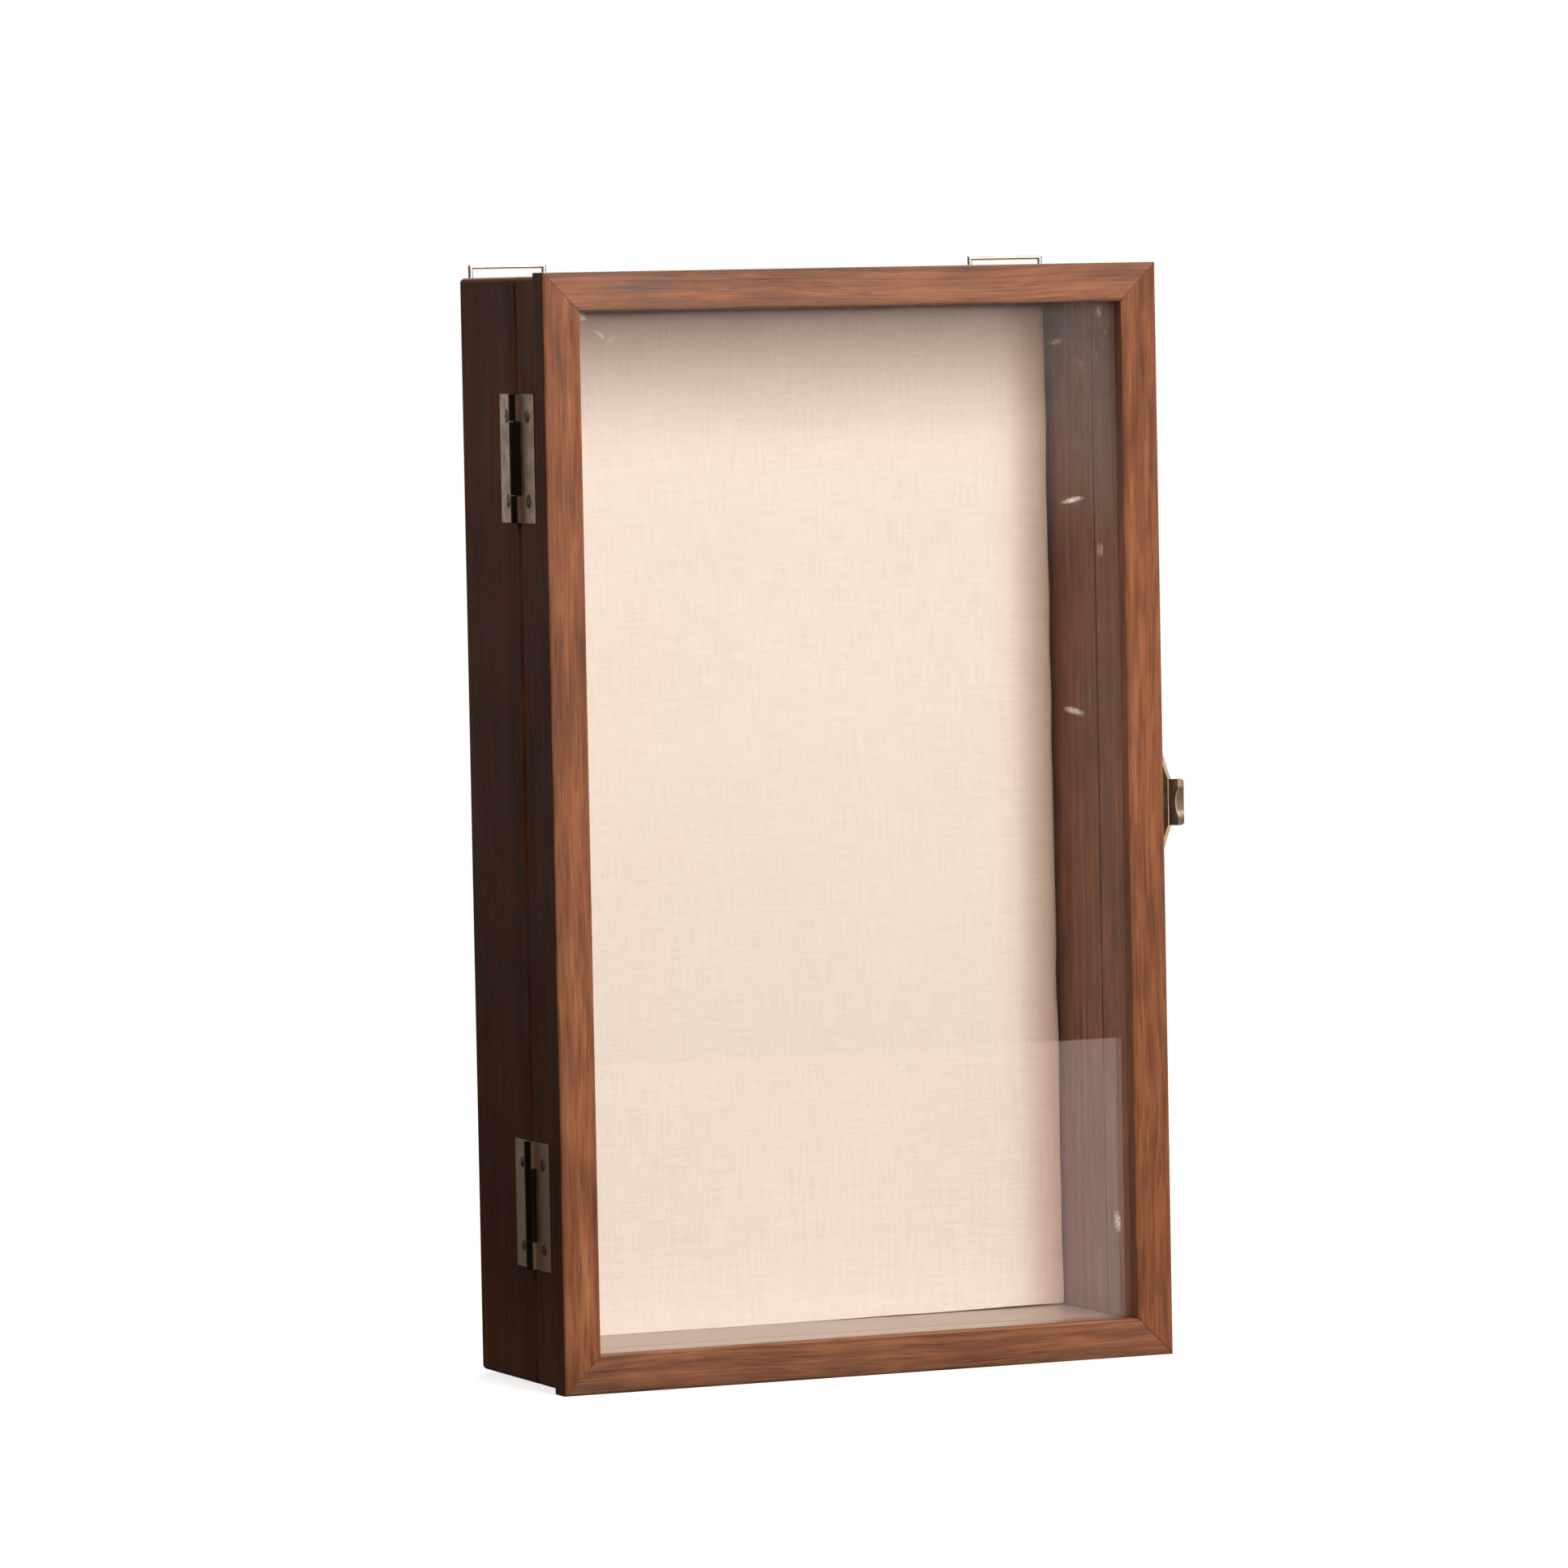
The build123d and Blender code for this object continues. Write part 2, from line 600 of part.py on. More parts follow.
def latch_catch():
    """The catch: a plate on the door with the raised nose that the arm's slot drops over."""
    with BuildPart() as catch:
        with BuildSketch(latch_plane(0)):
            add(catch_outline())
        extrude(amount=LATCH_T)
        with BuildSketch(latch_plane(LATCH_T)):
            with Locations((SLOT_D, 0)):
                RectangleRounded(NOSE_L, NOSE_W, NOSE_CORNER_R)
        extrude(amount=NOSE_OUT - LATCH_T)
        chamfer(catch.faces().filter_by(Axis.X).sort_by(Axis.X)[-1].edges(), NOSE_EDGE)
        add(at_places(LATCH_HOLE, latch_screw_places(CATCH_SCREW_D)), mode=Mode.SUBTRACT)
    return catch.part


# ---------------------------------------------------------------- hangers
def hanger_screw_place(x):
    """Place of a hanger's screw, under its ring."""
    return back_facing(x, RING_Z - HANGER_SCREW_DZ, 2 * STRAP_SHEET)


def hanger_screw_places():
    """Places of both hanger screws."""
    return [hanger_screw_place(x) for x in HANGER_XS.values()]


def hanger_strap(x):
    """A strap folded double round the ring's lower bar, with a rounded lower end."""
    plate_t = 2 * STRAP_SHEET
    with BuildPart() as strap:
        with BuildSketch(front_plane(BACK_Y).shift_origin((x, BACK_Y, RING_Z))):
            with Locations((0, -(STRAP_L - STRAP_W / 2) / 2)):
                Rectangle(STRAP_W, STRAP_L - STRAP_W / 2)
            with Locations((0, STRAP_W / 2 - STRAP_L)):
                Circle(STRAP_W / 2)
        extrude(amount=-plate_t)
        with Locations(Location((x, RING_Y, RING_Z), (0, 90, 0))):
            Cylinder(STRAP_R, STRAP_W)
            Cylinder(RING_WIRE_R + STRAP_RUN, STRAP_W, mode=Mode.SUBTRACT)
        add(at_places(HANGER_HOLE, [hanger_screw_place(x)]), mode=Mode.SUBTRACT)
    return strap.part


def hanger_ring(x):
    """The rectangular wire ring, standing up out of its strap."""
    half_w = RING_W / 2 - RING_WIRE_R
    height = RING_H - 2 * RING_WIRE_R
    with BuildPart() as ring:
        with BuildLine(front_plane(RING_Y).shift_origin((x, RING_Y, RING_Z))) as wire:
            Polyline((-half_w, 0), (half_w, 0), (half_w, height), (-half_w, height), close=True)
        with BuildSketch(Plane(origin=wire.line @ 0, z_dir=wire.line % 0)):
            Circle(RING_WIRE_R)
        sweep(transition=Transition.RIGHT)
    return ring.part


# ---------------------------------------------------------------- glass, board and back
def glass_pane():
    """The pane, in the face frame's rebate with the deep frame behind its edge."""
    cover = 2 * (GLASS_REBATE - GLASS_EDGE_PLAY)
    return block(SIGHT_W + cover, SIGHT_H + cover, GLASS_Y, GLASS_Y + GLASS_T)


def back_panel():
    """Plywood back, let into the rear of the case and pinned."""
    cover = 2 * (PANEL_REBATE - PANEL_PLAY)
    with BuildPart() as panel:
        add(block(INNER_W + cover, INNER_H + cover, PANEL_Y, BACK_Y))
        add(at_places(PANEL_PIN_HOLE, panel_pin_places()), mode=Mode.SUBTRACT)
        add(at_places(HANGER_HOLE, hanger_screw_places()), mode=Mode.SUBTRACT)
    return panel.part


def board_core():
    """The cork core that the pin posts push into."""
    margin = 2 * (BOARD_PLAY + FABRIC_T)
    return block(INNER_W - margin, INNER_H - margin, BOARD_Y + FABRIC_T, PANEL_Y - FABRIC_T)


def board_cover():
    """Fabric over the front and edges of the core, turned over behind it."""
    width, height = INNER_W - 2 * BOARD_PLAY, INNER_H - 2 * BOARD_PLAY
    bare_w, bare_h = width - 2 * FABRIC_TURN, height - 2 * FABRIC_TURN
    with BuildPart() as cover:
        add(block(width, height, BOARD_Y, PANEL_Y))
        add(board_core(), mode=Mode.SUBTRACT)
        add(block(bare_w, bare_h, PANEL_Y - 2 * FABRIC_T, PANEL_Y), mode=Mode.SUBTRACT)
    return cover.part


# ---------------------------------------------------------------- assembly
def build_case():
    """Walls, back and pin board of the case."""
    frame = case_frame()
    hardware = {
        "left": [hinge_recesses(towards_case=True)],
        "right": [at_places(LATCH_HOLE, latch_screw_places(BASE_SCREW_D))],
        "top": [],
        "bottom": [],
    }
    pin_holes = at_places(PANEL_PIN_HOLE, panel_pin_places())
    names = {"left": "side_left", "right": "side_right", "top": "top", "bottom": "bottom"}
    for side in SIDES:
        wall = mitred_member(frame, side, CASE_W, CASE_H, WALL)
        save(without(wall, pin_holes, *hardware[side]), f"case_{names[side]}")
    save(back_panel(), "back_panel")
    save(at_places(PANEL_PIN, panel_pin_places()), "back_panel_pins")
    save(board_core(), "pin_board_core")
    save(board_cover(), "pin_board_cover")


def build_door():
    """Deep door frame, face frame and glass."""
    deep, face = door_frame(), face_frame()
    hardware = {
        "left": [hinge_recesses(towards_case=False)],
        "right": [at_places(LATCH_HOLE, latch_screw_places(CATCH_SCREW_D))],
        "top": [],
        "bottom": [],
    }
    names = {"left": "stile_left", "right": "stile_right", "top": "rail_top", "bottom": "rail_bottom"}
    for side in SIDES:
        wall = mitred_member(deep, side, CASE_W, CASE_H, WALL)
        save(without(wall, *hardware[side]), f"door_{names[side]}")
        save(mitred_member(face, side, FACE_W, FACE_H, FACE_BAR), f"face_{names[side]}")
    save(glass_pane(), "glass_pane")


def build_hinges():
    """Leaves, pins and screws of both hinges."""
    for position, z in HINGE_ZS.items():
        save(hinge_leaf(z, towards_case=True), f"hinge_{position}_case_leaf")
        save(hinge_leaf(z, towards_case=False), f"hinge_{position}_door_leaf")
        save(hinge_pin(z), f"hinge_{position}_pin")
    save(at_places(HINGE_SCREW, hinge_screw_places(towards_case=True)), "hinge_case_screws")
    save(at_places(HINGE_SCREW, hinge_screw_places(towards_case=False)), "hinge_door_screws")


def build_latch():
    """Hasp on the case and catch on the door."""
    save(latch_base(), "latch_base_plate")
    save(latch_arm(), "latch_arm")
    save(latch_pin(), "latch_pin")
    save(latch_catch(), "latch_catch")
    save(at_places(LATCH_SCREW, latch_screw_places(BASE_SCREW_D)), "latch_base_screws")
    save(at_places(LATCH_SCREW, latch_screw_places(CATCH_SCREW_D)), "latch_catch_screws")


def build_hangers():
    """Straps, rings and screws on the back."""
    for side, x in HANGER_XS.items():
        save(hanger_strap(x), f"hanger_strap_{side}")
        save(hanger_ring(x), f"hanger_ring_{side}")
    save(at_places(HANGER_SCREW, hanger_screw_places()), "hanger_screws")


os.makedirs("parts", exist_ok=True)
build_case()
build_door()
build_hinges()
build_latch()
build_hangers()
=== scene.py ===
"""Looks of the enamel pin display case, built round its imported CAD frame.

Metres, in the part's frame: +X right, -Y front, +Z up, origin at the middle of the
case's underside. The CAD nodes of wood, glass and metal get node materials. The
screws and the fabric-covered board are replaced by finer pieces.
"""

import json
import math
import random

import bmesh
import bpy
from mathutils import Matrix, Quaternion, Vector

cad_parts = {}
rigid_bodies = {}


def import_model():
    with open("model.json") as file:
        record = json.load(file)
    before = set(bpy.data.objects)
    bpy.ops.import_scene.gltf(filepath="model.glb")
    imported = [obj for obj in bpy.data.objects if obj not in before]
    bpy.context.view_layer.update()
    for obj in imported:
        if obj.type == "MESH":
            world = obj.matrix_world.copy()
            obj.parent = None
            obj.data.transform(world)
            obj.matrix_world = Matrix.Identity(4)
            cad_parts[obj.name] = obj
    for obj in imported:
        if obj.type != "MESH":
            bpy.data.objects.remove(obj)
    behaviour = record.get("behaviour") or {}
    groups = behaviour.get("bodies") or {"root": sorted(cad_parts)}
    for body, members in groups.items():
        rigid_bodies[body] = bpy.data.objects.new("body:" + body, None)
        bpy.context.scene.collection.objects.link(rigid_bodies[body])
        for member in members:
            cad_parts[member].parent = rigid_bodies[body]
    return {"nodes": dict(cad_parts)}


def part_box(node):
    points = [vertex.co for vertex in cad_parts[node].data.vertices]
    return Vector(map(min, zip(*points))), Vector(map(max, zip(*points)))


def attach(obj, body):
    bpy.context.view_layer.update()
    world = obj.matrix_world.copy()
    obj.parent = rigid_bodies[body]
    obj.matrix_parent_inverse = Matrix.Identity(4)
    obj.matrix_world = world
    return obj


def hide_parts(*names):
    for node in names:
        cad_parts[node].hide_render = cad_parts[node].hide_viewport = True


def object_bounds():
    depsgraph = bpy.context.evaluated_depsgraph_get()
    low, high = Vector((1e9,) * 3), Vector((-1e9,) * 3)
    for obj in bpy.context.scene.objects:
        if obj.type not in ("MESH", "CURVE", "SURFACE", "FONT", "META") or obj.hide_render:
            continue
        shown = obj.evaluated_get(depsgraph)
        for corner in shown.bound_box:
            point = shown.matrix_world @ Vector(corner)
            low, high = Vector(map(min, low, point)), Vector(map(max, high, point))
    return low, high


for leftover in list(bpy.data.objects):
    bpy.data.objects.remove(leftover)
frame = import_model()
cad_low, cad_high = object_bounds()

MM = 0.001

# ---------------------------------------------------------------- camera
CAMERA_AT = (-1.0625, -2.4723, 0.3200)
CAMERA_LOOK = (0.39094, 0.91883, -0.05405)
CAMERA_LENS = 205.74                # mm, on the sensor below
CAMERA_SENSOR = 36.0
CAMERA_ROLL = -1.111                # degrees
CAMERA_CLIP = (0.05, 50.0)

# ---------------------------------------------------------------- lamps
# Azimuth 0 shines from the front and 90 from +X. A level of 1 lights a face that
# looks at the lamp to its written colour.
KEY_AZIMUTH, KEY_ELEVATION = 7.0, 22.5      # softbox, from the front towards +X
KEY_FAR = 1.16
KEY_WIDE, KEY_TALL = 20.5, 38.0     # degrees across, as seen from the case
KEY_LEVEL = 1.19
FILL_AZIMUTH, FILL_ELEVATION = -80.0, 45.0  # small softbox over the hinged side
FILL_FAR = 0.60
FILL_ACROSS = 40.0
FILL_LEVEL = 0.10
FILL_COLOUR = (1.0, 0.80, 0.64)
BACK_AZIMUTH, BACK_ELEVATION = 150.0, 35.0  # soft sun behind the case
BACK_SPREAD = 40.0
BACK_LEVEL = 0.55

# ---------------------------------------------------------------- studio
AMBIENT = 0.27                      # light from all round
AMBIENT_TINT = (1.0, 0.72, 0.54)
AMBIENT_LEFT, AMBIENT_RIGHT = 0.25, 1.2     # shares of it from the left and from the right
MIRROR_FLOOR, MIRROR_ROOM = 0.04, 0.28      # what metal and glass show under and over the horizon
MIRROR_HORIZON = (-0.0285, -0.0190)         # sine of the height at which one fades to the other
MIRROR_LEFT = 0.12                  # share of what they show that remains towards the left

# ---------------------------------------------------------------- white sheet under the case
SHEET_HALF = 1.30                   # half its width, and the Y of its back edge
SHEET_FRONT = 1.042                 # its front edge is this far in front of the door
SHEET_CORNER = 0.12
SHEET_CORNER_STEPS = 8
SHEET_SHADE, SHEET_LIGHT = 0.5, 0.80        # its colour and its own light, as the camera sees them
SHEET_BOUNCE = (0.085, 0.065, 0.05) # how much of the light on it comes back to the case
SHEET_GLOW = (1.60, 1.28, 1.18)     # its right end in reflections, where 1 is white
SHEET_LEFT, SHEET_MIDDLE, SHEET_BEHIND = 0.02, 0.12, 0.5    # shares of that elsewhere on it
LEFT_FADE = (-0.20, -0.10)          # X over which the left share fades out
RIGHT_FADE = (0.030, 0.055)         # the same at the right end, on a line that slants
RIGHT_SLANT = 0.46                  # by this much X for each metre of Y
BEHIND_FADE = (-0.06, 0.10)         # Y over which it grows dimmer towards the back

# ---------------------------------------------------------------- wood
FACE_TONES = ((0.085, 0.028, 0.011), (0.190, 0.063, 0.024), (0.285, 0.100, 0.038), (0.430, 0.170, 0.072))
# The case's tones are darker than the face frame's: partly its own stain, partly painted shade.
CASE_TONES = ((0.070, 0.024, 0.010), (0.155, 0.055, 0.022), (0.235, 0.088, 0.036), (0.340, 0.140, 0.062))
PLY_TONES = ((0.24, 0.13, 0.068), (0.36, 0.21, 0.115), (0.44, 0.27, 0.155), (0.54, 0.36, 0.22))
TONE_PLACES = (0.0, 0.36, 0.62, 1.0)        # where those four tones lie on the ramp
TONE_RANGE = (0.51, 0.99)           # the part of the summed noise that the ramp spans
STREAKS = (440.0, 0.09)             # noise scale across the grain, and its stretch along the grain
FIBRES = (1700.0, 0.025)
PORES = (1500.0, 0.045)
RING_SCALE, RING_STRETCH = 400.0, 0.03
BLOTCH_SCALE = 30.0
RING_SHARE, STREAK_SHARE, FIBRE_SHARE, BLOTCH_SHARE = 0.30, 0.54, 0.32, 0.30
SWAY_SCALE, SWAY = 13.0, 5 * MM     # slow bends in the grain
PITH = (0.02, 0.05)                 # the rings' centre lies this far off
PORE_SHARE = 0.40
WOOD_RELIEF = 0.06 * MM
EDGE_WEAR_AND_HIGHLIGHT = (0.2, 0.65)                  # how much paler the eased edges are: partly wear, partly painted highlight
# How bright the tones are on each member. The case's right side is painted lighter than its others: painted
# light.
FACE_LIFTS = {"rail_top": 1.0, "rail_bottom": 0.95, "stile_left": 1.04, "stile_right": 1.03}
CASE_PAINTED_LIGHT = {"stile_right": 1.2, "side_right": 1.2}
FACE_SHINE = {"X": 0.36, "Z": 0.18}         # grain across the light shines more than grain along it
CASE_SHINE = 0.12
WALL_COAT, FLOOR_COAT = 0.22, 1.0   # varnish inside the case
PALE_FLOOR_TINT = (0.65, 0.50, 0.395)          # paler tint laid over the floor inside
PALE_FLOOR_SHARE = 0.46
MITRE_LINE = 0.30 * MM              # half the width of the dark line at a mitre
OUTER_EDGE_SHADE, OUTER_SHADE_REACH = 0.64, 5.0 * MM      # painted shade at the face frame's outer edge, and how far in it reaches
# Painted shade at each member's inner edge.
INNER_SHADES = {"rail_top": 0.62, "rail_bottom": 1.0, "stile_left": 1.0, "stile_right": 0.72}
INNER_SHADE_REACH = 2.2 * MM               # how far in the painted shade at the inner edge reaches
INNER_EASE = 0.3 * MM
TOUCH = 0.1 * MM                    # a face this near a limit counts as on it

# ---------------------------------------------------------------- cloth
CLOTH_TONES = ((0.1, (0.84, 0.705, 0.60)), (0.5, (0.90, 0.77, 0.675)), (0.9, (0.93, 0.815, 0.72)))
THREAD_PITCH = 0.42 * MM            # one thread over and one under
SLUB_SCALE, SLUB_STRETCH = 1500.0, 0.06
WANDER_SCALE, SHADE_SCALE = 260.0, 18.0     # noise that bends the threads, and that shades the cloth
CLOTH_RELIEF = 0.05 * MM
RIM_SHADE_REACH = 23 * MM                 # painted shade: the cloth is darker and warmer this far in from its sides
RIM_SHADE_TINT = (0.84, 0.70, 0.60)
HEAD_SHADE_REACH = 55 * MM                 # and painted pinker, as shade, this far down from its top
HEAD_SHADE_TINT = (1.0, 0.89, 0.84)
FOOT_SHADE_REACH = HEAD_SHADE_REACH / 1.4      # and painted cooler, as shade, this far up from its foot
FOOT_SHADE_TINT = (0.95, 0.975, 1.0)
BOARD_CROWN = 0.4 * MM              # the padding stands this far out at the middle
BOARD_STEP = 2.4 * MM               # spacing of its mesh
RIM_R, RIM_R_GROWTH = 1.4 * MM, 1.0 * MM    # rounding of its rim at mid height, and how it grows upwards
CLOTH_SAG = 0.28 * MM               # the cloth hangs this far below the board at its left
SAG_LEFT, SAG_LESS = 0.85, 0.55     # share of the pull that the sag evens out, and less of it at the right
CLOTH_GAP = 1.2 * MM                # the cloth stops this far short of the board's top

# ---------------------------------------------------------------- metal
# Bright colour, tarnished colour, roughness, share of tarnish.
# The hinges' colours are painted lighter than their brass, as painted light on the shaded hinged side; the
# latch's are painted darker, as painted shade.
LIGHTENED_HINGE_BRASS = (1.0, 0.76, 0.58), (0.68, 0.47, 0.34), 0.36, 0.14
DARKENED_LATCH_BRASS = (0.50, 0.39, 0.27), (0.27, 0.20, 0.13), 0.38, 0.30
HANGER_STEEL = (0.74, 0.67, 0.58), (0.46, 0.40, 0.33), 0.34, 0.15
SCREW_BRASS = (0.62, 0.44, 0.30), (0.20, 0.13, 0.08), 0.28, 0.30
BRUSHED_UP = (1, 1, 0.05)           # scratches run along Z
PATCH_SCALE, SPOT_SCALE, SCRATCH_SCALE = 240.0, 1500.0, 5200.0
METAL_RELIEF = 0.03 * MM
# Painted shade on the hinges' barrels and in the grooves beside them.
BARREL_SHADE_COLOUR = (0.030, 0.016, 0.010)
BARREL_SHADE_REACH = 2.3 * MM             # how far the painted shade reaches from a hinge's pin line
BARREL_FADE = 0.3 * MM
BARREL_LIGHTER_SPAN = (-1.2 * MM, -0.6 * MM)      # X from the pin line over which the end knuckles grow lighter
BARREL_MIDDLE = (10.6 * MM, 11.4 * MM)      # the middle knuckle ends here, above and below
# Painted shade on the latch's lip, with two painted highlights.
LIP_SHADE_COLOUR = (0.085, 0.060, 0.040)
LIP_DARK, LIP_FADE = 3.6 * MM, 1.6 * MM     # the lip is painted dark this far in from its tip, as painted shade
LIP_HIGHLIGHTS_UP = 1.0 * MM             # middle of its two painted highlight bands, above the arm's middle
LIP_HIGHLIGHTS_APART = 4.7 * MM          # half the distance between them
LIP_HIGHLIGHT_WIDTH = (0.5 * MM, 1.5 * MM)     # half the width of a highlight band, without and with its soft edge

# ---------------------------------------------------------------- screws
# In mm: head radius, depth under the rim, height of the dome, shank radius, length, slot width and depth.
COUNTERSUNK = (2.0, 0.95, 0.25, 1.05, 6.5, 0.55, 0.55)
RAISED = (1.6, 0.1, 0.9, 0.8, 6.8, 0.45, 0.55)
LARGE = (2.5, 0.1, 1.5, 1.2, 6.8, 0.6, 0.8)
SLOT_TURN = 1.2                     # radians either way
DOME_STEPS = 8
WELD = 0.0005 * MM

# ---------------------------------------------------------------- glass
GLASS_TINT, CLEAR_TINT = (0.993, 0.998, 0.995), (0.985, 0.995, 0.99)
HAZE = (0.80, 0.70, 0.62)
FILM_SCALE, SPECK_SCALE, CLOUD_SCALE, RUB_SCALE = 34.0, 900.0, 70.0, 1300.0
SMUDGES_FROM, SMUDGES_TO = 0.235, 0.305     # the glass is cloudier towards its top
SMUDGE_SHARE = 0.034
# Middle x and z, half length and half width in mm, tilt in degrees, strength.
SCUFFS = (
    (72.8, 258.0, 4.6, 1.1, 12, 0.55),
    (81.8, 243.0, 0.7, 3.5, 0, 0.22),
    (72.2, 194.6, 4.4, 1.4, -18, 0.35),
    (83.6, 39.8, 1.0, 4.5, 4, 0.60),
    (-79.0, 310.5, 3.0, 1.0, -40, 0.25),
    (-75.5, 309.0, 2.4, 0.6, 30, 0.20),
    (-85.6, 316.2, 3.2, 1.5, -25, 0.70),
    (68.0, 305.5, 4.0, 1.5, 8, 0.12),
    (76.0, 299.0, 5.0, 2.6, -30, 0.07),
    (82.6, 314.5, 1.2, 3.2, 0, 0.20),
)


# ---------------------------------------------------------------- node trees
class Tree:
    """Writes a material's or the world's node tree. An input is a value, or another node's socket."""

    def __init__(self, owner):
        owner.use_nodes = True
        self.tree = owner.node_tree
        self.tree.nodes.clear()

    def add(self, kind, inputs=None, **settings):
        node = self.tree.nodes.new(kind)
        for name, value in settings.items():
            setattr(node, name, value)
        for name, value in (inputs or {}).items():
            socket = node.inputs[name]
            if isinstance(value, bpy.types.NodeSocket):
                self.tree.links.new(value, socket)
            elif socket.type == "RGBA" and len(value) == 3:
                socket.default_value = (*value, 1.0)
            else:
                socket.default_value = value
        return node

    def math(self, operation, a, b=0.0, clamp=False):
        return self.add("ShaderNodeMath", {0: a, 1: b}, operation=operation, use_clamp=clamp).outputs[0]

    def total(self, *terms):
        """The sum of (value, factor) terms."""
        whole = self.math("MULTIPLY", *terms[0])
        for term in terms[1:]:
            whole = self.math("ADD", whole, self.math("MULTIPLY", *term))
        return whole

    def vector(self, operation, a, b=(0.0, 0.0, 0.0)):
        node = self.add("ShaderNodeVectorMath", {0: a, 1: b}, operation=operation)
        return node.outputs["Value" if operation in ("LENGTH", "DOT_PRODUCT", "DISTANCE") else "Vector"]

    def split(self, vector):
        """The X, Y and Z of a vector."""
        return self.add("ShaderNodeSeparateXYZ", {0: vector}).outputs

    def mapped(self, vector, location=(0, 0, 0), rotation=(0, 0, 0), scale=(1, 1, 1), kind="POINT"):
        inputs = {"Vector": vector, "Location": location, "Rotation": rotation, "Scale": scale}
        return self.add("ShaderNodeMapping", inputs, vector_type=kind).outputs[0]

    def noise(self, vector, scale, detail=2.0, roughness=0.5, distortion=0.0):
        inputs = {"Vector": vector, "Scale": scale, "Detail": detail}
        inputs.update({"Roughness": roughness, "Distortion": distortion})
        return self.add("ShaderNodeTexNoise", inputs).outputs["Fac"]

    def remap(self, value, low, high, to_low=0.0, to_high=1.0, smooth=False):
        inputs = {"Value": value, "From Min": low, "From Max": high, "To Min": to_low, "To Max": to_high}
        kind = "SMOOTHSTEP" if smooth else "LINEAR"
        return self.add("ShaderNodeMapRange", inputs, interpolation_type=kind).outputs["Result"]

    def ramp(self, value, stops):
        """Colour ramp through (place, colour) stops."""
        node = self.add("ShaderNodeValToRGB", {"Fac": value})
        elements = node.color_ramp.elements
        while len(elements) < len(stops):
            elements.new(0.5)
        for element, (place, colour) in zip(elements, stops):
            element.position = place
            element.color = (*colour, 1.0)
        return node.outputs["Color"]

    def mix(self, share, a, b, blend="MIX"):
        node = self.add("ShaderNodeMix", {0: share, 6: a, 7: b}, data_type="RGBA", blend_type=blend)
        return node.outputs[2]

    def mix_number(self, share, a, b):
        return self.add("ShaderNodeMix", {0: share, 2: a, 3: b}).outputs[0]

    def bump(self, height, distance, strength=1.0):
        inputs = {"Height": height, "Distance": distance, "Strength": strength}
        return self.add("ShaderNodeBump", inputs).outputs["Normal"]

    def principled(self, inputs):
        self.surface(self.add("ShaderNodeBsdfPrincipled", inputs).outputs[0])

    def surface(self, shader, kind="Material"):
        self.add(f"ShaderNodeOutput{kind}", {"Surface": shader})


def object_coordinates(tree):
    return tree.add("ShaderNodeTexCoord").outputs["Object"]


def times(factor, colour):
    return tuple(factor * channel for channel in colour)


# ---------------------------------------------------------------- where on an object a point is
def eased_edges(tree):
    """1 on the eased and rounded arrises, whose faces look along none of the three axes, else 0."""
    normal = tree.add("ShaderNodeTexCoord").outputs["Normal"]
    parts = tree.split(tree.vector("ABSOLUTE", normal))
    most = tree.math("MAXIMUM", tree.math("MAXIMUM", parts[0], parts[1]), parts[2])
    return tree.remap(most, 0.80, 0.985, 1.0, 0.0)


def insets(tree, low, high):
    """How far inside the nearer side, and inside the top or bottom, of an upright frame a point is."""
    parts = tree.split(object_coordinates(tree))
    across = []
    for k in (0, 2):
        off = tree.math("ABSOLUTE", tree.math("SUBTRACT", parts[k], (low[k] + high[k]) / 2))
        across.append(tree.math("SUBTRACT", (high[k] - low[k]) / 2, off))
    return across


def mitre_lines(tree, inset):
    """1 on the mitres of a frame, fading out beside them."""
    off = tree.math("ABSOLUTE", tree.math("SUBTRACT", *inset))
    return tree.remap(off, 0.4 * MITRE_LINE, 1.4 * MITRE_LINE, 1.0, 0.0, smooth=True)


def inside_case(tree):
    """1 on the inner faces of the case and door, 0 elsewhere."""
    left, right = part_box("case_side_left")[1].x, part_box("case_side_right")[0].x
    foot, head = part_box("case_bottom")[1].z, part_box("case_top")[0].z
    parts = tree.split(object_coordinates(tree))
    near_x = tree.math("LESS_THAN", tree.math("ABSOLUTE", parts[0]), (right - left) / 2 + TOUCH)
    from_middle = tree.math("ABSOLUTE", tree.math("SUBTRACT", parts[2], (head + foot) / 2))
    near_z = tree.math("LESS_THAN", from_middle, (head - foot) / 2 + TOUCH)
    return tree.math("MULTIPLY", near_x, near_z)


def edge_shade(tree, across, width, outer, inner):
    """Painted shade on a face frame member, towards its outer edge and its inner edge."""
    shade = tree.remap(across, 0.0, OUTER_SHADE_REACH, outer, 1.0)
    near = tree.remap(across, width - INNER_SHADE_REACH, width - INNER_EASE, 1.0, inner, smooth=True)
    on_inner_face = tree.math("GREATER_THAN", across, width - TOUCH / 2)
    return tree.math("MULTIPLY", shade, tree.math("MAXIMUM", near, on_inner_face))


def barrel_painted_shade(tree, pin):
    """Painted shade on a hinge's barrel and in the groove beside it, lighter on the inner half of the end
    knuckles.
    """
    low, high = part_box(pin)
    offset = tree.vector("SUBTRACT", object_coordinates(tree), tuple((low + high) / 2))
    parts = tree.split(offset)
    out = tree.vector("LENGTH", tree.vector("MULTIPLY", offset, (1, 1, 0)))
    near = tree.remap(out, BARREL_SHADE_REACH, BARREL_SHADE_REACH + BARREL_FADE, 0.95, 0.0, smooth=True)
    outer = tree.remap(parts[0], *BARREL_LIGHTER_SPAN, 1.0, 0.2)
    middle = tree.remap(tree.math("ABSOLUTE", parts[2]), *BARREL_MIDDLE, 1.0, 0.0)
    return tree.math("MULTIPLY", near, tree.math("MAXIMUM", outer, middle))


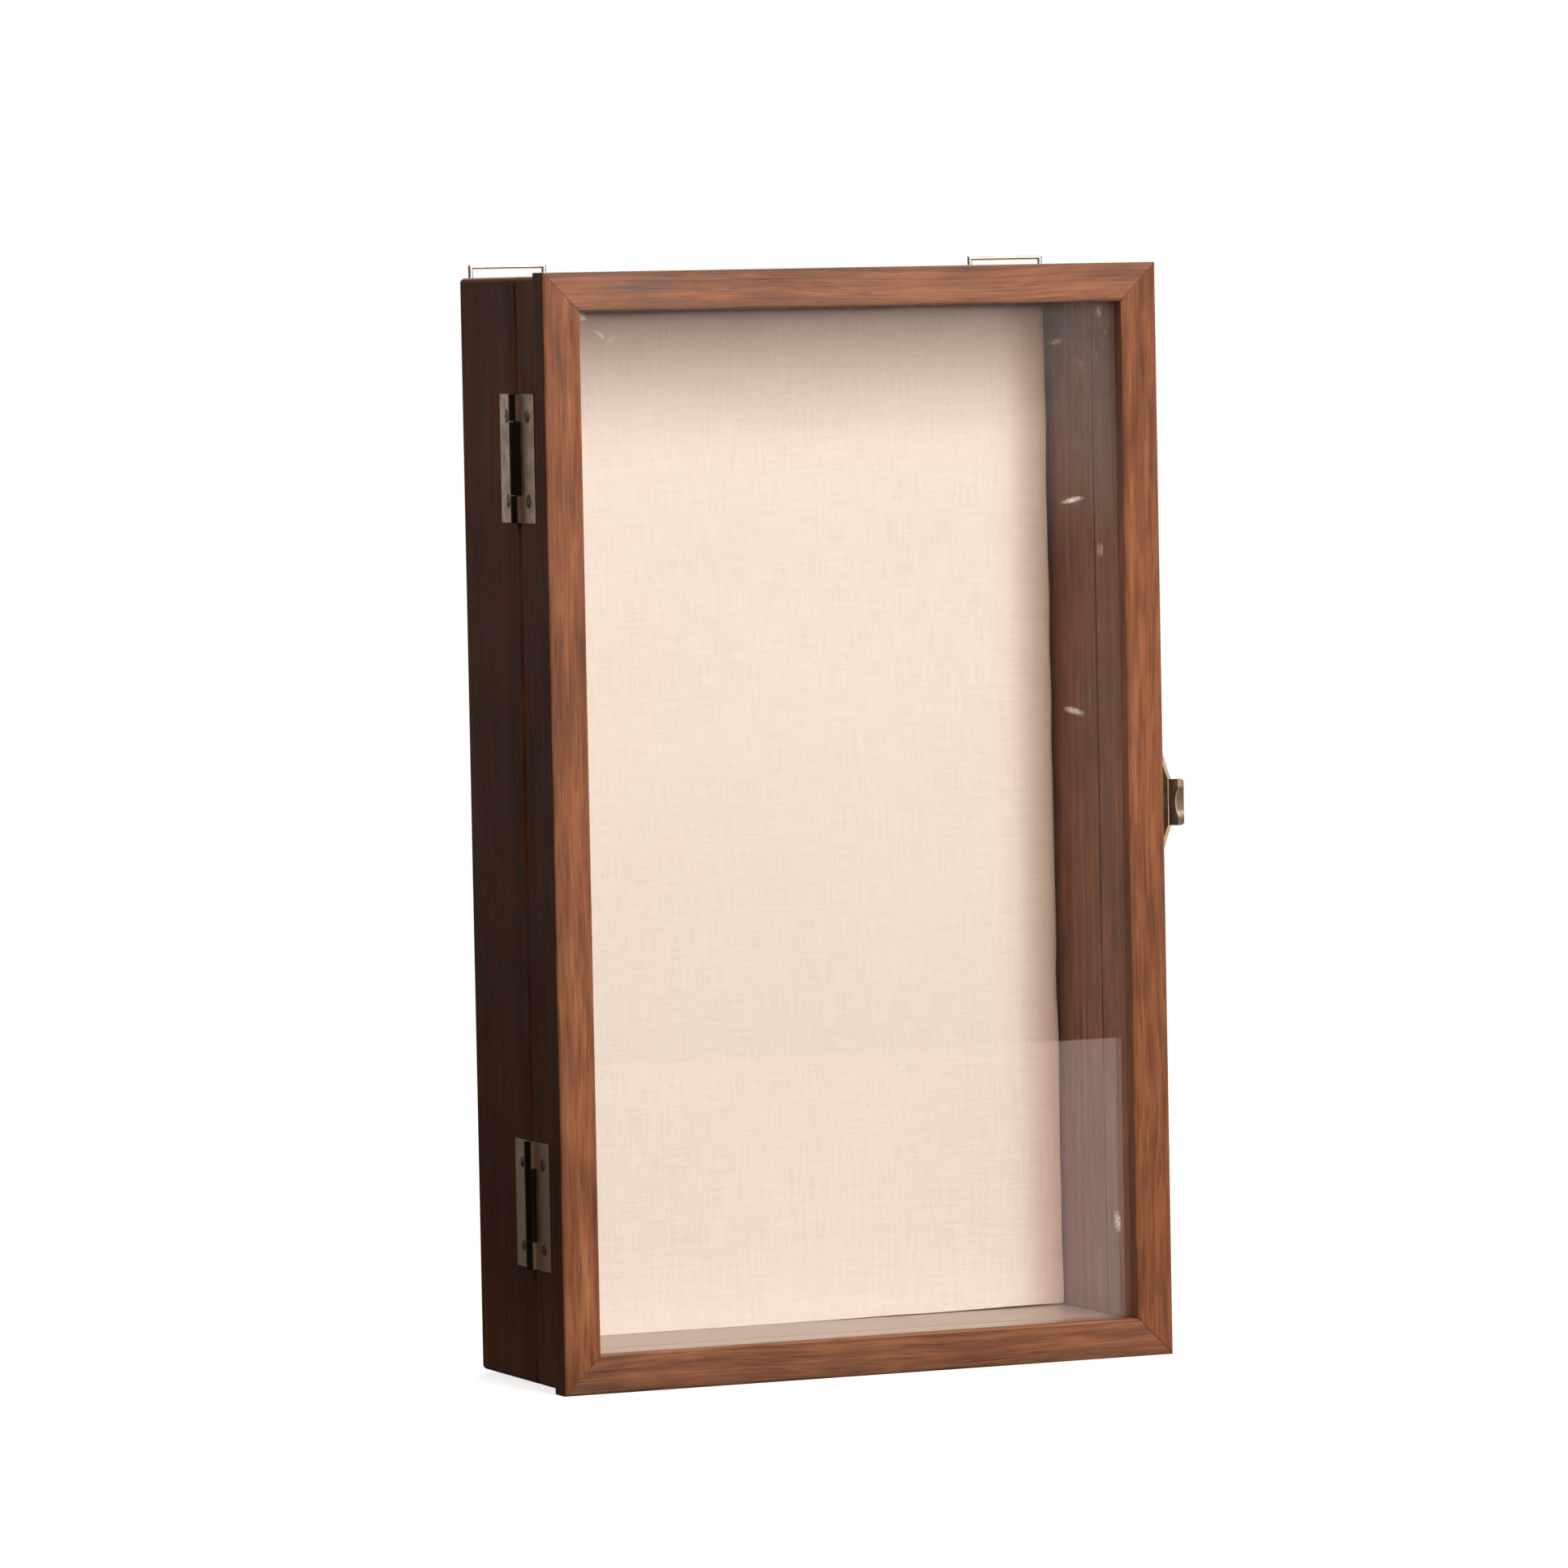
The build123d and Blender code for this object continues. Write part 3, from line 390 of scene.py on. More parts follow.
def lip_painted_shade(tree, arm):
    """Painted shade on a latch arm's finger lip, broken by two painted highlight bands."""
    low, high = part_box(arm)
    parts = tree.split(object_coordinates(tree))
    above = tree.math("SUBTRACT", parts[2], (low.z + high.z) / 2 + LIP_HIGHLIGHTS_UP)
    band = tree.math("ABSOLUTE", tree.math("SUBTRACT", tree.math("ABSOLUTE", above), LIP_HIGHLIGHTS_APART))
    start = high.x - LIP_DARK
    out = tree.remap(parts[0], start, start + LIP_FADE, 0.0, 0.85, smooth=True)
    return tree.math("MULTIPLY", out, tree.remap(band, *LIP_HIGHLIGHT_WIDTH, 0.35, 1.0, smooth=True))


# ---------------------------------------------------------------- materials
def grain_space(tree, grain, place):
    """A board's coordinates, Z along its grain: shifted at random, and swaying a little."""
    turn = (0, math.pi / 2, 0) if grain == "X" else (0, 0, 0)
    along = tree.mapped(object_coordinates(tree), rotation=turn)
    along = tree.mapped(along, location=[place.uniform(-0.5, 0.5) for _ in range(3)])
    inputs = {"Vector": along, "Scale": SWAY_SCALE, "Detail": 1.0}
    sway = tree.add("ShaderNodeTexNoise", inputs).outputs["Color"]
    sway = tree.vector("MULTIPLY", tree.vector("SUBTRACT", sway, (0.5, 0.5, 0.5)), (SWAY, SWAY, 0.0))
    return tree.vector("ADD", along, sway)


def growth_rings(tree, board, place):
    """Uneven rings round a pith beside the board."""
    pith = (place.uniform(*PITH), place.uniform(*PITH), 0.0)
    from_pith = tree.mapped(board, location=pith, scale=(1.0, 1.0, RING_STRETCH))
    inputs = {"W": tree.vector("LENGTH", from_pith), "Scale": RING_SCALE, "Detail": 2.0}
    return tree.add("ShaderNodeTexNoise", inputs, noise_dimensions="1D").outputs["Fac"]


def drawn_out(tree, board, look, detail, roughness=0.5):
    """Noise drawn out along the grain."""
    scale, stretch = look
    return tree.noise(tree.mapped(board, scale=(1, 1, stretch)), scale, detail, roughness)


def wood(
    name, grain, tones, seed, frame_box=None, lift=1.0, shine=CASE_SHINE, coat=0.0, dust=0.0, edges=None
):
    """Stained hardwood with its grain along X or Z: uneven growth rings, streaks, fibres and open pores.

    frame_box is the outline of the mitred frame that it belongs to; edges are the width of that frame's
    member and the painted shade at its outer and inner edges; coat and dust are the shares of varnish
    and of a paler tint inside the case.
    """
    place = random.Random(seed)
    material = bpy.data.materials.new(name)
    tree = Tree(material)
    board = grain_space(tree, grain, place)
    rings = growth_rings(tree, board, place)
    streaks = drawn_out(tree, board, STREAKS, 3.0, 0.55)
    fibres = drawn_out(tree, board, FIBRES, 2.0, 0.6)
    pores = tree.remap(drawn_out(tree, board, PORES, 1.0), 0.60, 0.72)
    blotches = tree.noise(board, BLOTCH_SCALE, 2.0)

    tone = tree.total(
        (rings, RING_SHARE), (streaks, STREAK_SHARE), (fibres, FIBRE_SHARE), (blotches, BLOTCH_SHARE)
    )
    tones = [times(lift, step) for step in tones]
    colour = tree.ramp(tree.remap(tone, *TONE_RANGE), list(zip(TONE_PLACES, tones)))
    colour = tree.mix(tree.math("MULTIPLY", pores, PORE_SHARE), colour, times(0.55, tones[0]))
    # Paler eased edges: partly wear, partly painted highlight along the arrises.
    worn = tree.math("MULTIPLY", eased_edges(tree), tree.remap(streaks, 0.40, 0.62, *EDGE_WEAR_AND_HIGHLIGHT))
    colour = tree.mix(worn, colour, times(1.15, tones[3]))
    height = tree.math("SUBTRACT", tree.math("MULTIPLY", fibres, 0.35), pores)
    if frame_box:
        inset = insets(tree, *frame_box)
        mitre = tree.math("MULTIPLY", mitre_lines(tree, inset), tree.remap(blotches, 0.35, 0.65, 0.25, 0.75))
        colour = tree.mix(mitre, colour, times(0.35, tones[0]))
        height = tree.math("SUBTRACT", height, tree.math("MULTIPLY", mitre, 2.0))
    # Painted shade towards the face frame's outer and inner edges.
    if edges:
        across = inset[1 if grain == "X" else 0]
        colour = tree.mix(edge_shade(tree, across, *edges), (0.0, 0.0, 0.0), colour)
    # A paler tint over the inside of the case; only the floor's members get one.
    if dust:
        colour = tree.mix(tree.math("MULTIPLY", inside_case(tree), dust), colour, PALE_FLOOR_TINT)

    inputs = {
        "Base Color": colour,
        "Roughness": tree.remap(streaks, 0.3, 0.7, 0.44, 0.62),
        "Normal": tree.bump(height, WOOD_RELIEF, 0.7),
        "Specular IOR Level": shine,
        "Coat Roughness": 0.30,
    }
    if coat:
        inputs["Coat Weight"] = tree.math("MULTIPLY", inside_case(tree), coat)
    tree.principled(inputs)
    return material


def glass_dust(tree):
    """Share of dust on the pane: a thin film, specks, a cloudier top and a few rubbed scuffs."""
    coordinates = object_coordinates(tree)
    film = tree.noise(tree.mapped(coordinates, scale=(1, 1, 0.5)), FILM_SCALE, 4.0, 0.65)
    film = tree.remap(film, 0.5, 0.8, 0.004, 0.012)
    specks = tree.remap(tree.noise(coordinates, SPECK_SCALE, 1.0), 0.72, 0.8, 0.0, 0.10)
    height = tree.split(coordinates)[2]
    upwards = tree.remap(height, SMUDGES_FROM, SMUDGES_TO, 0.0, SMUDGE_SHARE, smooth=True)
    cloud = tree.remap(tree.noise(coordinates, CLOUD_SCALE, 5.0, 0.6, 1.2), 0.34, 0.70, 0.4, 1.0)
    dust = tree.math("ADD", tree.math("ADD", film, specks), tree.math("MULTIPLY", cloud, upwards))
    broken = tree.remap(tree.noise(coordinates, RUB_SCALE, 3.0, 0.7), 0.36, 0.60, 0.15, 1.0)
    for x, z, half_long, half_wide, tilt, share in SCUFFS:
        middle, turn = (x * MM, 0, z * MM), (0, -math.radians(tilt), 0)
        size = (half_long * MM, 1.0, half_wide * MM)
        turned = tree.mapped(coordinates, middle, turn, size, "TEXTURE")
        off = tree.vector("LENGTH", tree.vector("MULTIPLY", turned, (1, 0, 1)))
        mark = tree.math("MULTIPLY", tree.remap(off, 0.15, 1.0, share, 0.0, smooth=True), broken)
        dust = tree.math("MAXIMUM", dust, mark)
    return dust


def glass(name):
    """Clear float glass with a faint film of dust. Lamps and bounced light pass straight through it."""
    material = bpy.data.materials.new(name)
    tree = Tree(material)
    dust = glass_dust(tree)
    inputs = {"Base Color": GLASS_TINT, "Roughness": 0.0, "IOR": 1.5, "Transmission Weight": 1.0}
    pane = tree.add("ShaderNodeBsdfPrincipled", inputs).outputs[0]
    clear = tree.add("ShaderNodeBsdfTransparent", {"Color": CLEAR_TINT}).outputs[0]
    ray = tree.add("ShaderNodeLightPath").outputs
    passing = tree.math("MAXIMUM", ray["Is Shadow Ray"], ray["Is Diffuse Ray"])
    pane = tree.add("ShaderNodeMixShader", {0: passing, 1: pane, 2: clear}).outputs[0]
    haze = tree.add("ShaderNodeBsdfDiffuse", {"Color": HAZE}).outputs[0]
    tree.surface(tree.add("ShaderNodeMixShader", {0: dust, 1: pane, 2: haze}).outputs[0])
    return material


def fabric(name):
    """Plain cream cloth: a fine over-and-under weave with slubs and a little sheen."""
    material = bpy.data.materials.new(name)
    tree = Tree(material)
    coordinates = object_coordinates(tree)
    parts = tree.split(coordinates)
    wander = tree.noise(coordinates, WANDER_SCALE, 2.0)
    threads = []
    for axis in (0, 2):
        phase = tree.math("ADD", tree.math("MULTIPLY", parts[axis], math.tau / THREAD_PITCH), wander)
        threads.append(tree.math("SINE", phase))
    weave = tree.math("MULTIPLY", threads[0], threads[1])
    slubs_x = tree.noise(tree.mapped(coordinates, scale=(SLUB_STRETCH, 1, 1)), SLUB_SCALE, 1.0)
    slubs_z = tree.noise(tree.mapped(coordinates, scale=(1, 1, SLUB_STRETCH)), SLUB_SCALE, 1.0)
    slubs = tree.math("ADD", slubs_x, slubs_z)
    shade = tree.noise(coordinates, SHADE_SCALE, 2.0)
    tone = tree.math("ADD", tree.remap(slubs, 0.7, 1.3, 0.0, 0.5), tree.remap(weave, -1.0, 1.0, 0.0, 0.2))
    tone = tree.math("ADD", tone, tree.remap(shade, 0.3, 0.7, 0.07, 0.22))
    colour = tree.ramp(tone, CLOTH_TONES)
    height = tree.total((weave, 0.5), (slubs, 1.2))

    # Painted shade: the cloth is darker and warmer towards its rim, pinker towards its top and cooler towards
    # its foot.
    low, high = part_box("pin_board_cover")
    rim = tree.remap(insets(tree, low, high)[0], 0.0, RIM_SHADE_REACH, 1.0, 0.0, smooth=True)
    head = tree.remap(parts[2], high.z - HEAD_SHADE_REACH, high.z, 0.0, 1.0)
    foot = tree.remap(parts[2], low.z, low.z + FOOT_SHADE_REACH, 1.0, 0.0)
    for share, tint in ((rim, RIM_SHADE_TINT), (head, HEAD_SHADE_TINT), (foot, FOOT_SHADE_TINT)):
        colour = tree.mix(share, colour, tint, "MULTIPLY")
    inputs = {
        "Base Color": colour,
        "Roughness": 0.85,
        "Specular IOR Level": 0.15,
        "Sheen Weight": 0.12,
        "Sheen Roughness": 0.5,
        "Normal": tree.bump(height, CLOTH_RELIEF, 0.5),
    }
    tree.principled(inputs)
    return material


def metal(name, bright, dull, roughness, tarnish, brushed=(1, 1, 1), pin=None, arm=None):
    """Aged sheet metal: a bright metal under uneven tarnish, with fine scratches and rubbed edges.

    pin is the hinge pin whose barrel gets painted shade, and arm the latch arm whose lip gets painted shade
    and highlights.
    """
    material = bpy.data.materials.new(name)
    tree = Tree(material)
    coordinates = object_coordinates(tree)
    patches = tree.noise(coordinates, PATCH_SCALE, 4.0, 0.62)
    spots = tree.noise(coordinates, SPOT_SCALE, 2.0)
    scratches = tree.noise(tree.mapped(coordinates, scale=brushed), SCRATCH_SCALE, 1.0)
    cover = tree.math("ADD", tree.remap(patches, 0.36, 0.66, -0.25, 0.35), tarnish)
    cover = tree.math("ADD", cover, tree.remap(spots, 0.45, 0.75, 0.0, 0.30))
    cover = tree.math("SUBTRACT", cover, tree.math("MULTIPLY", eased_edges(tree), 0.18), clamp=True)
    colour = tree.mix(cover, bright, dull)
    # Painted shade and highlights on the latch's lip.
    if arm:
        colour = tree.mix(lip_painted_shade(tree, arm), colour, LIP_SHADE_COLOUR)
    # Painted shade on the hinge's barrel.
    if pin:
        colour = tree.mix(barrel_painted_shade(tree, pin), colour, BARREL_SHADE_COLOUR)
    inputs = {
        "Base Color": colour,
        "Metallic": 1.0,
        "Roughness": tree.math("ADD", tree.math("MULTIPLY", cover, 0.25), roughness),
        "Normal": tree.bump(tree.math("ADD", scratches, patches), METAL_RELIEF, 0.5),
    }
    tree.principled(inputs)
    return material


def give(node, material):
    """Puts a material on a CAD node."""
    for place in frame["nodes"][node].material_slots:
        place.material = material


# ---------------------------------------------------------------- mesh pieces
def linked(name, data):
    """A new object in the scene."""
    obj = bpy.data.objects.new(name, data)
    bpy.context.scene.collection.objects.link(obj)
    return obj


def mesh_data(name, mesh):
    """A mesh datablock from a bmesh, which is freed."""
    data = bpy.data.meshes.new(name)
    mesh.to_mesh(data)
    mesh.free()
    return data


def piece(name, mesh, material, body, smooth=35.0):
    """A new visible piece from a bmesh, riding on a CAD body."""
    data = mesh_data(name, mesh)
    obj = linked(name, data)
    data.materials.append(material)
    data.shade_smooth()
    data.set_sharp_from_angle(angle=math.radians(smooth))
    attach(obj, body)
    return obj


def draw_walls(mesh, axis, place):
    """Draws walls from a mesh's open edge to a place along an axis."""
    rim = [e for e in mesh.edges if e.is_boundary]
    walls = bmesh.ops.extrude_edge_only(mesh, edges=rim)["geom"]
    for vert in (g for g in walls if isinstance(g, bmesh.types.BMVert)):
        vert.co[axis] = place


def finished(mesh):
    """Fills what is open and turns the faces outwards."""
    bmesh.ops.holes_fill(mesh, edges=[e for e in mesh.edges if e.is_boundary], sides=0)
    bmesh.ops.recalc_face_normals(mesh, faces=mesh.faces)
    return mesh


# ---------------------------------------------------------------- screws
def solids_of(node):
    """The box of each separate solid of a CAD node, as (lowest corner, highest corner)."""
    mesh = bmesh.new()
    mesh.from_mesh(frame["nodes"][node].data)
    bmesh.ops.remove_doubles(mesh, verts=mesh.verts, dist=2 * WELD)
    left = set(mesh.verts)
    boxes = []
    while left:
        front = [left.pop()]
        found = list(front)
        while front:
            vert = front.pop()
            for edge in vert.link_edges:
                other = edge.other_vert(vert)
                if other in left:
                    left.remove(other)
                    front.append(other)
                    found.append(other)
        low = Vector(tuple(min(v.co[k] for v in found) for k in range(3)))
        high = Vector(tuple(max(v.co[k] for v in found) for k in range(3)))
        boxes.append((low, high))
    mesh.free()
    return sorted(boxes, key=lambda box: tuple(round(c, 5) for c in box[0]))


def revolved(profile, steps=40):
    """A closed solid turned round Z from (radius, height) points, the first and last on the axis."""
    mesh = bmesh.new()
    verts = [mesh.verts.new((radius, 0, height)) for radius, height in profile]
    edges = [mesh.edges.new(pair) for pair in zip(verts, verts[1:])]
    bmesh.ops.spin(
        mesh, geom=verts + edges, cent=(0, 0, 0), axis=(0, 0, 1), angle=math.tau, steps=steps, use_merge=True
    )
    bmesh.ops.remove_doubles(mesh, verts=mesh.verts, dist=WELD)
    bmesh.ops.recalc_face_normals(mesh, faces=mesh.faces)
    return mesh


def scored(mesh, place, axis):
    """Cuts a mesh's faces along the plane through a place, across an axis."""
    geometry = mesh.verts[:] + mesh.edges[:] + mesh.faces[:]
    bmesh.ops.bisect_plane(mesh, geom=geometry, plane_co=place, plane_no=axis, dist=1e-8)


def slotted_head(radius, sink, dome, shank, length, slot_w, slot_t):
    """A wood screw with a domed, slotted head, its rim at z 0 and its shank down -Z."""
    angles = [k * math.pi / (2 * DOME_STEPS) for k in range(1, DOME_STEPS)]
    rise = [(radius * math.cos(angle), dome * math.sin(angle)) for angle in angles]
    under = [(radius, 0), (0.92 * radius, -0.35 * sink), (shank, -sink), (shank, -length)]
    mesh = revolved([(0, dome)] + rise[::-1] + under + [(0, -length - shank)])
    half, floor = slot_w / 2, dome - slot_t
    for side in (-half, half):
        scored(mesh, (side, 0, 0), (1, 0, 0))
    scored(mesh, (0, 0, floor), (0, 0, 1))
    top = []
    for face in mesh.faces:
        middle = face.calc_center_median()
        if abs(middle.x) < half and middle.z > floor and face.normal.z > 0.0:
            top.append(face)
    bmesh.ops.delete(mesh, geom=top, context="FACES")
    draw_walls(mesh, 2, floor)
    bmesh.ops.remove_doubles(mesh, verts=mesh.verts, dist=WELD)
    return finished(mesh)


def copies(source, places):
    """One mesh with a copy of the source at each place, a 4x4 matrix."""
    whole = bmesh.new()
    for place in places:
        part = source.copy()
        part.transform(place)
        held = mesh_data("held", part)
        whole.from_mesh(held)
        bpy.data.meshes.remove(held)
    source.free()
    return whole


def head_places(node, axis, outwards, seed):
    """Where a node's fasteners have their heads, each turned about its own axis by a random angle."""
    turn = random.Random(seed)
    places = []
    direction = Vector((0, 0, 0))
    direction[axis] = outwards
    facing = direction.to_track_quat("Z", "Y").to_matrix().to_4x4()
    for low, high in solids_of(node):
        centre = (low + high) / 2
        centre[axis] = high[axis] if outwards > 0 else low[axis]
        spin = Matrix.Rotation(turn.uniform(-SLOT_TURN, SLOT_TURN), 4, "Z")
        places.append(Matrix.Translation(centre) @ facing @ spin)
    return places


# ---------------------------------------------------------------- pin board
def rim_pull(seed):
    """How far the cloth draws the board's edge in, as a function of the distance along the rim."""
    wave = random.Random(seed)
    waves = []
    for _ in range(6):
        waves.append((wave.uniform(90, 240), wave.uniform(0, math.tau), wave.uniform(0.10, 0.24) * MM))

    def pull(along):
        return sum(size * (0.5 + 0.5 * math.sin(rate * along + phase)) for rate, phase, size in waves)

    return pull


def square_grid(columns, rows):
    """A flat grid of faces from -1 to 1 in X and Z."""
    mesh = bmesh.new()
    grid = []
    for i in range(columns + 1):
        grid.append([mesh.verts.new((2 * i / columns - 1, 0, 2 * j / rows - 1)) for j in range(rows + 1)])
    for i in range(columns):
        for j in range(rows):
            mesh.faces.new((grid[i][j], grid[i + 1][j], grid[i + 1][j + 1], grid[i][j + 1]))
    return mesh


def bent_over(u, v, reach_x, reach_z, radius):
    """Where a point of the cloth lies once it is bent over the rounded rim.

    u and v are its shares of the way from the middle to the rim, and the reaches are how far off the
    rim is. Gives its distances from the middle and how far it dips behind the front.
    """
    bend = radius * math.pi / 2     # cloth length over the rounded rim
    flat_x, flat_z = reach_x - radius, reach_z - radius
    x, z = u * (flat_x + bend), v * (flat_z + bend)
    over_x, over_z = max(0.0, x - flat_x), max(0.0, z - flat_z)
    over = math.hypot(over_x, over_z)
    turn = min(bend, over) / radius
    out = radius * math.sin(turn) / over if over else 0.0
    return min(x, flat_x) + out * over_x, min(z, flat_z) + out * over_z, radius * (1 - math.cos(turn))


def pin_board(material):
    """The covered board: soft rounded edges, a slightly crowned front, and cloth pulled in at its rim."""
    low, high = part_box("pin_board_cover")
    middle = (low + high) / 2
    half_w, half_h = (high.x - low.x) / 2, (high.z - low.z) / 2
    pull = rim_pull(31)
    mesh = square_grid(round(2 * half_w / BOARD_STEP), round(2 * half_h / BOARD_STEP))
    for vert in mesh.verts:
        u, v = vert.co.x, vert.co.z
        reach_x, reach_z = half_w - pull(v * half_h + 3.0), half_h - pull(u * half_w)
        if v > 0:
            reach_z -= CLOTH_GAP
        else:
            rightward = max(0.0, u)
            reach_z += pull(u * half_w) * (SAG_LEFT - SAG_LESS * rightward)
            reach_z += CLOTH_SAG * (1 - rightward)
        x, z, dip = bent_over(abs(u), abs(v), reach_x, reach_z, RIM_R + RIM_R_GROWTH * v)
        hollow = BOARD_CROWN * (1 - (1 - u ** 4) * (1 - v ** 4))
        vert.co = (middle.x + math.copysign(x, u), low.y + hollow + dip, middle.z + math.copysign(z, v))
    draw_walls(mesh, 1, high.y)
    board = piece("pin_board", finished(mesh), material, "case", 60.0)
    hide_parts("pin_board_cover", "pin_board_core")


# ---------------------------------------------------------------- stage
def aimed(name, data, azimuth, elevation, middle=Vector((0, 0, 0)), far=1.0):
    """A lamp that looks at a point from a direction."""
    lamp = linked(name, data)
    turn, lift = math.radians(azimuth), math.radians(elevation)
    source = Vector((math.sin(turn) * math.cos(lift), -math.cos(turn) * math.cos(lift), math.sin(lift)))
    lamp.rotation_mode = "QUATERNION"
    lamp.rotation_quaternion = source.to_track_quat("Z", "Y")
    lamp.location = middle + far * source


def sun(name, azimuth, elevation, spread, level):
    """A wide, soft sun."""
    data = bpy.data.lights.new(name, "SUN")
    data.energy = math.pi * level
    data.angle = math.radians(spread)
    aimed(name, data, azimuth, elevation)


def softbox(name, azimuth, elevation, far, wide, tall, level, colour=(1.0, 1.0, 1.0)):
    """A rectangular softbox that looks at the middle of the case. wide and tall are degrees across."""
    data = bpy.data.lights.new(name, "AREA")
    data.shape = "RECTANGLE"
    data.size = 2 * far * math.tan(math.radians(wide / 2))
    data.size_y = 2 * far * math.tan(math.radians(tall / 2))
    data.energy = level * (math.pi * far) ** 2
    data.color = colour
    aimed(name, data, azimuth, elevation, (cad_low + cad_high) / 2, far)


def seen_directly(tree):
    """1 for what the camera sees, straight or through the glass, and 0 for reflections and bounced light."""
    ray = tree.add("ShaderNodeLightPath").outputs
    seen = tree.math("MAXIMUM", ray["Is Camera Ray"], ray["Is Transmission Ray"])
    return tree.math("MULTIPLY", seen, tree.math("LESS_THAN", ray["Glossy Depth"], 0.5))


def rounded_sheet():
    """A flat sheet under the case, with rounded corners."""
    mesh = bmesh.new()
    front = cad_low.y - SHEET_FRONT
    corners = []
    for sx, sy in ((1, 1), (-1, 1), (-1, -1), (1, -1)):
        far_y = SHEET_HALF if sy > 0 else front
        centre_x = sx * (SHEET_HALF - SHEET_CORNER)
        centre_y = far_y - sy * SHEET_CORNER
        start = math.atan2(sy, sx) - math.pi / 4
        for k in range(SHEET_CORNER_STEPS + 1):
            angle = start + k * math.pi / (2 * SHEET_CORNER_STEPS)
            x = centre_x + SHEET_CORNER * math.cos(angle)
            y = centre_y + SHEET_CORNER * math.sin(angle)
            corners.append(mesh.verts.new((x, y, cad_low.z)))
    mesh.faces.new(corners)
    return mesh


def sheet_material():
    """White to the camera, and shaded where the case stands in the light.

    It sends little light back to the case. Reflections show it bright at its right end and dim elsewhere.
    """
    material = bpy.data.materials.new("white_sheet")
    tree = Tree(material)
    ray = tree.add("ShaderNodeLightPath").outputs
    parts = tree.split(object_coordinates(tree))
    leftward = tree.remap(parts[0], *LEFT_FADE, 0.0, 1.0, smooth=True)
    slanted = tree.math("ADD", parts[0], tree.math("MULTIPLY", parts[1], RIGHT_SLANT))
    rightward = tree.remap(slanted, *RIGHT_FADE, SHEET_MIDDLE, 1.0, smooth=True)
    backward = tree.remap(parts[1], *BEHIND_FADE, 1.0, SHEET_BEHIND, smooth=True)
    share = tree.math("MULTIPLY", tree.mix_number(leftward, SHEET_LEFT, rightward), backward)

    seen = seen_directly(tree)
    bounce = tree.mix(leftward, times(SHEET_LEFT, SHEET_BOUNCE), SHEET_BOUNCE)
    shade = tree.mix(seen, bounce, times(SHEET_SHADE, (1.0, 1.0, 1.0)))
    lit = tree.add("ShaderNodeBsdfDiffuse", {"Color": shade}).outputs[0]
    even = tree.add("ShaderNodeCombineXYZ", {0: share, 1: share, 2: share}).outputs[0]
    mirrored = tree.vector("MULTIPLY", even, SHEET_GLOW)
    glow = tree.mix(seen, mirrored, times(SHEET_LIGHT, (1.0, 1.0, 1.0)))
    level = tree.math("MAXIMUM", seen, ray["Is Glossy Ray"])
    glow = tree.add("ShaderNodeEmission", {"Color": glow, "Strength": level}).outputs[0]
    tree.surface(tree.add("ShaderNodeAddShader", {0: lit, 1: glow}).outputs[0])
    return material


def white_sheet():
    """The sheet that the case stands on, as stage."""
    data = mesh_data("sheet", rounded_sheet())
    sheet = linked("sheet", data)
    data.materials.append(sheet_material())


def studio():
    """White to the camera and through glass, and soft warm light on the object, less from the left.

    Reflections show a dark floor, a dim room and a white backdrop and ceiling, dimmer to the left.
    """
    world = bpy.data.worlds.new("studio")
    bpy.context.scene.world = world
    tree = Tree(world)
    parts = tree.split(tree.add("ShaderNodeTexCoord").outputs["Generated"])
    soft = tree.remap(parts[0], -0.8, 0.6, AMBIENT_LEFT * AMBIENT, AMBIENT_RIGHT * AMBIENT, smooth=True)
    room = tree.remap(parts[2], *MIRROR_HORIZON, MIRROR_FLOOR, MIRROR_ROOM, smooth=True)
    backdrop = tree.remap(parts[1], -0.1, 0.8, 0.0, 1.0, smooth=True)
    ceiling = tree.remap(parts[2], 0.1, 0.8, 0.0, 1.0)
    mirrored = tree.math("MAXIMUM", tree.math("MAXIMUM", room, backdrop), ceiling)
    mirrored = tree.math("MULTIPLY", mirrored, tree.remap(parts[0], -0.6, 0.2, MIRROR_LEFT, 1.0, smooth=True))
    ray = tree.add("ShaderNodeLightPath").outputs
    level = tree.mix_number(ray["Is Glossy Ray"], soft, mirrored)
    level = tree.mix_number(seen_directly(tree), level, 1.0)
    colour = tree.mix(ray["Is Diffuse Ray"], (1.0, 1.0, 1.0), AMBIENT_TINT)
    tree.surface(tree.add("ShaderNodeBackground", {"Color": colour, "Strength": level}).outputs[0], "World")


def camera():
    """The camera in front and to the left, far off with a long lens, and leaning a little."""
    data = bpy.data.cameras.new("camera")
    data.lens = CAMERA_LENS
    data.sensor_width = CAMERA_SENSOR
    data.clip_start, data.clip_end = CAMERA_CLIP
    eye = linked("camera", data)
    eye.location = CAMERA_AT
    eye.rotation_mode = "QUATERNION"
    level = Vector(CAMERA_LOOK).to_track_quat("-Z", "Y")
    eye.rotation_quaternion = level @ Quaternion((0, 0, 1), math.radians(CAMERA_ROLL))
    bpy.context.scene.camera = eye


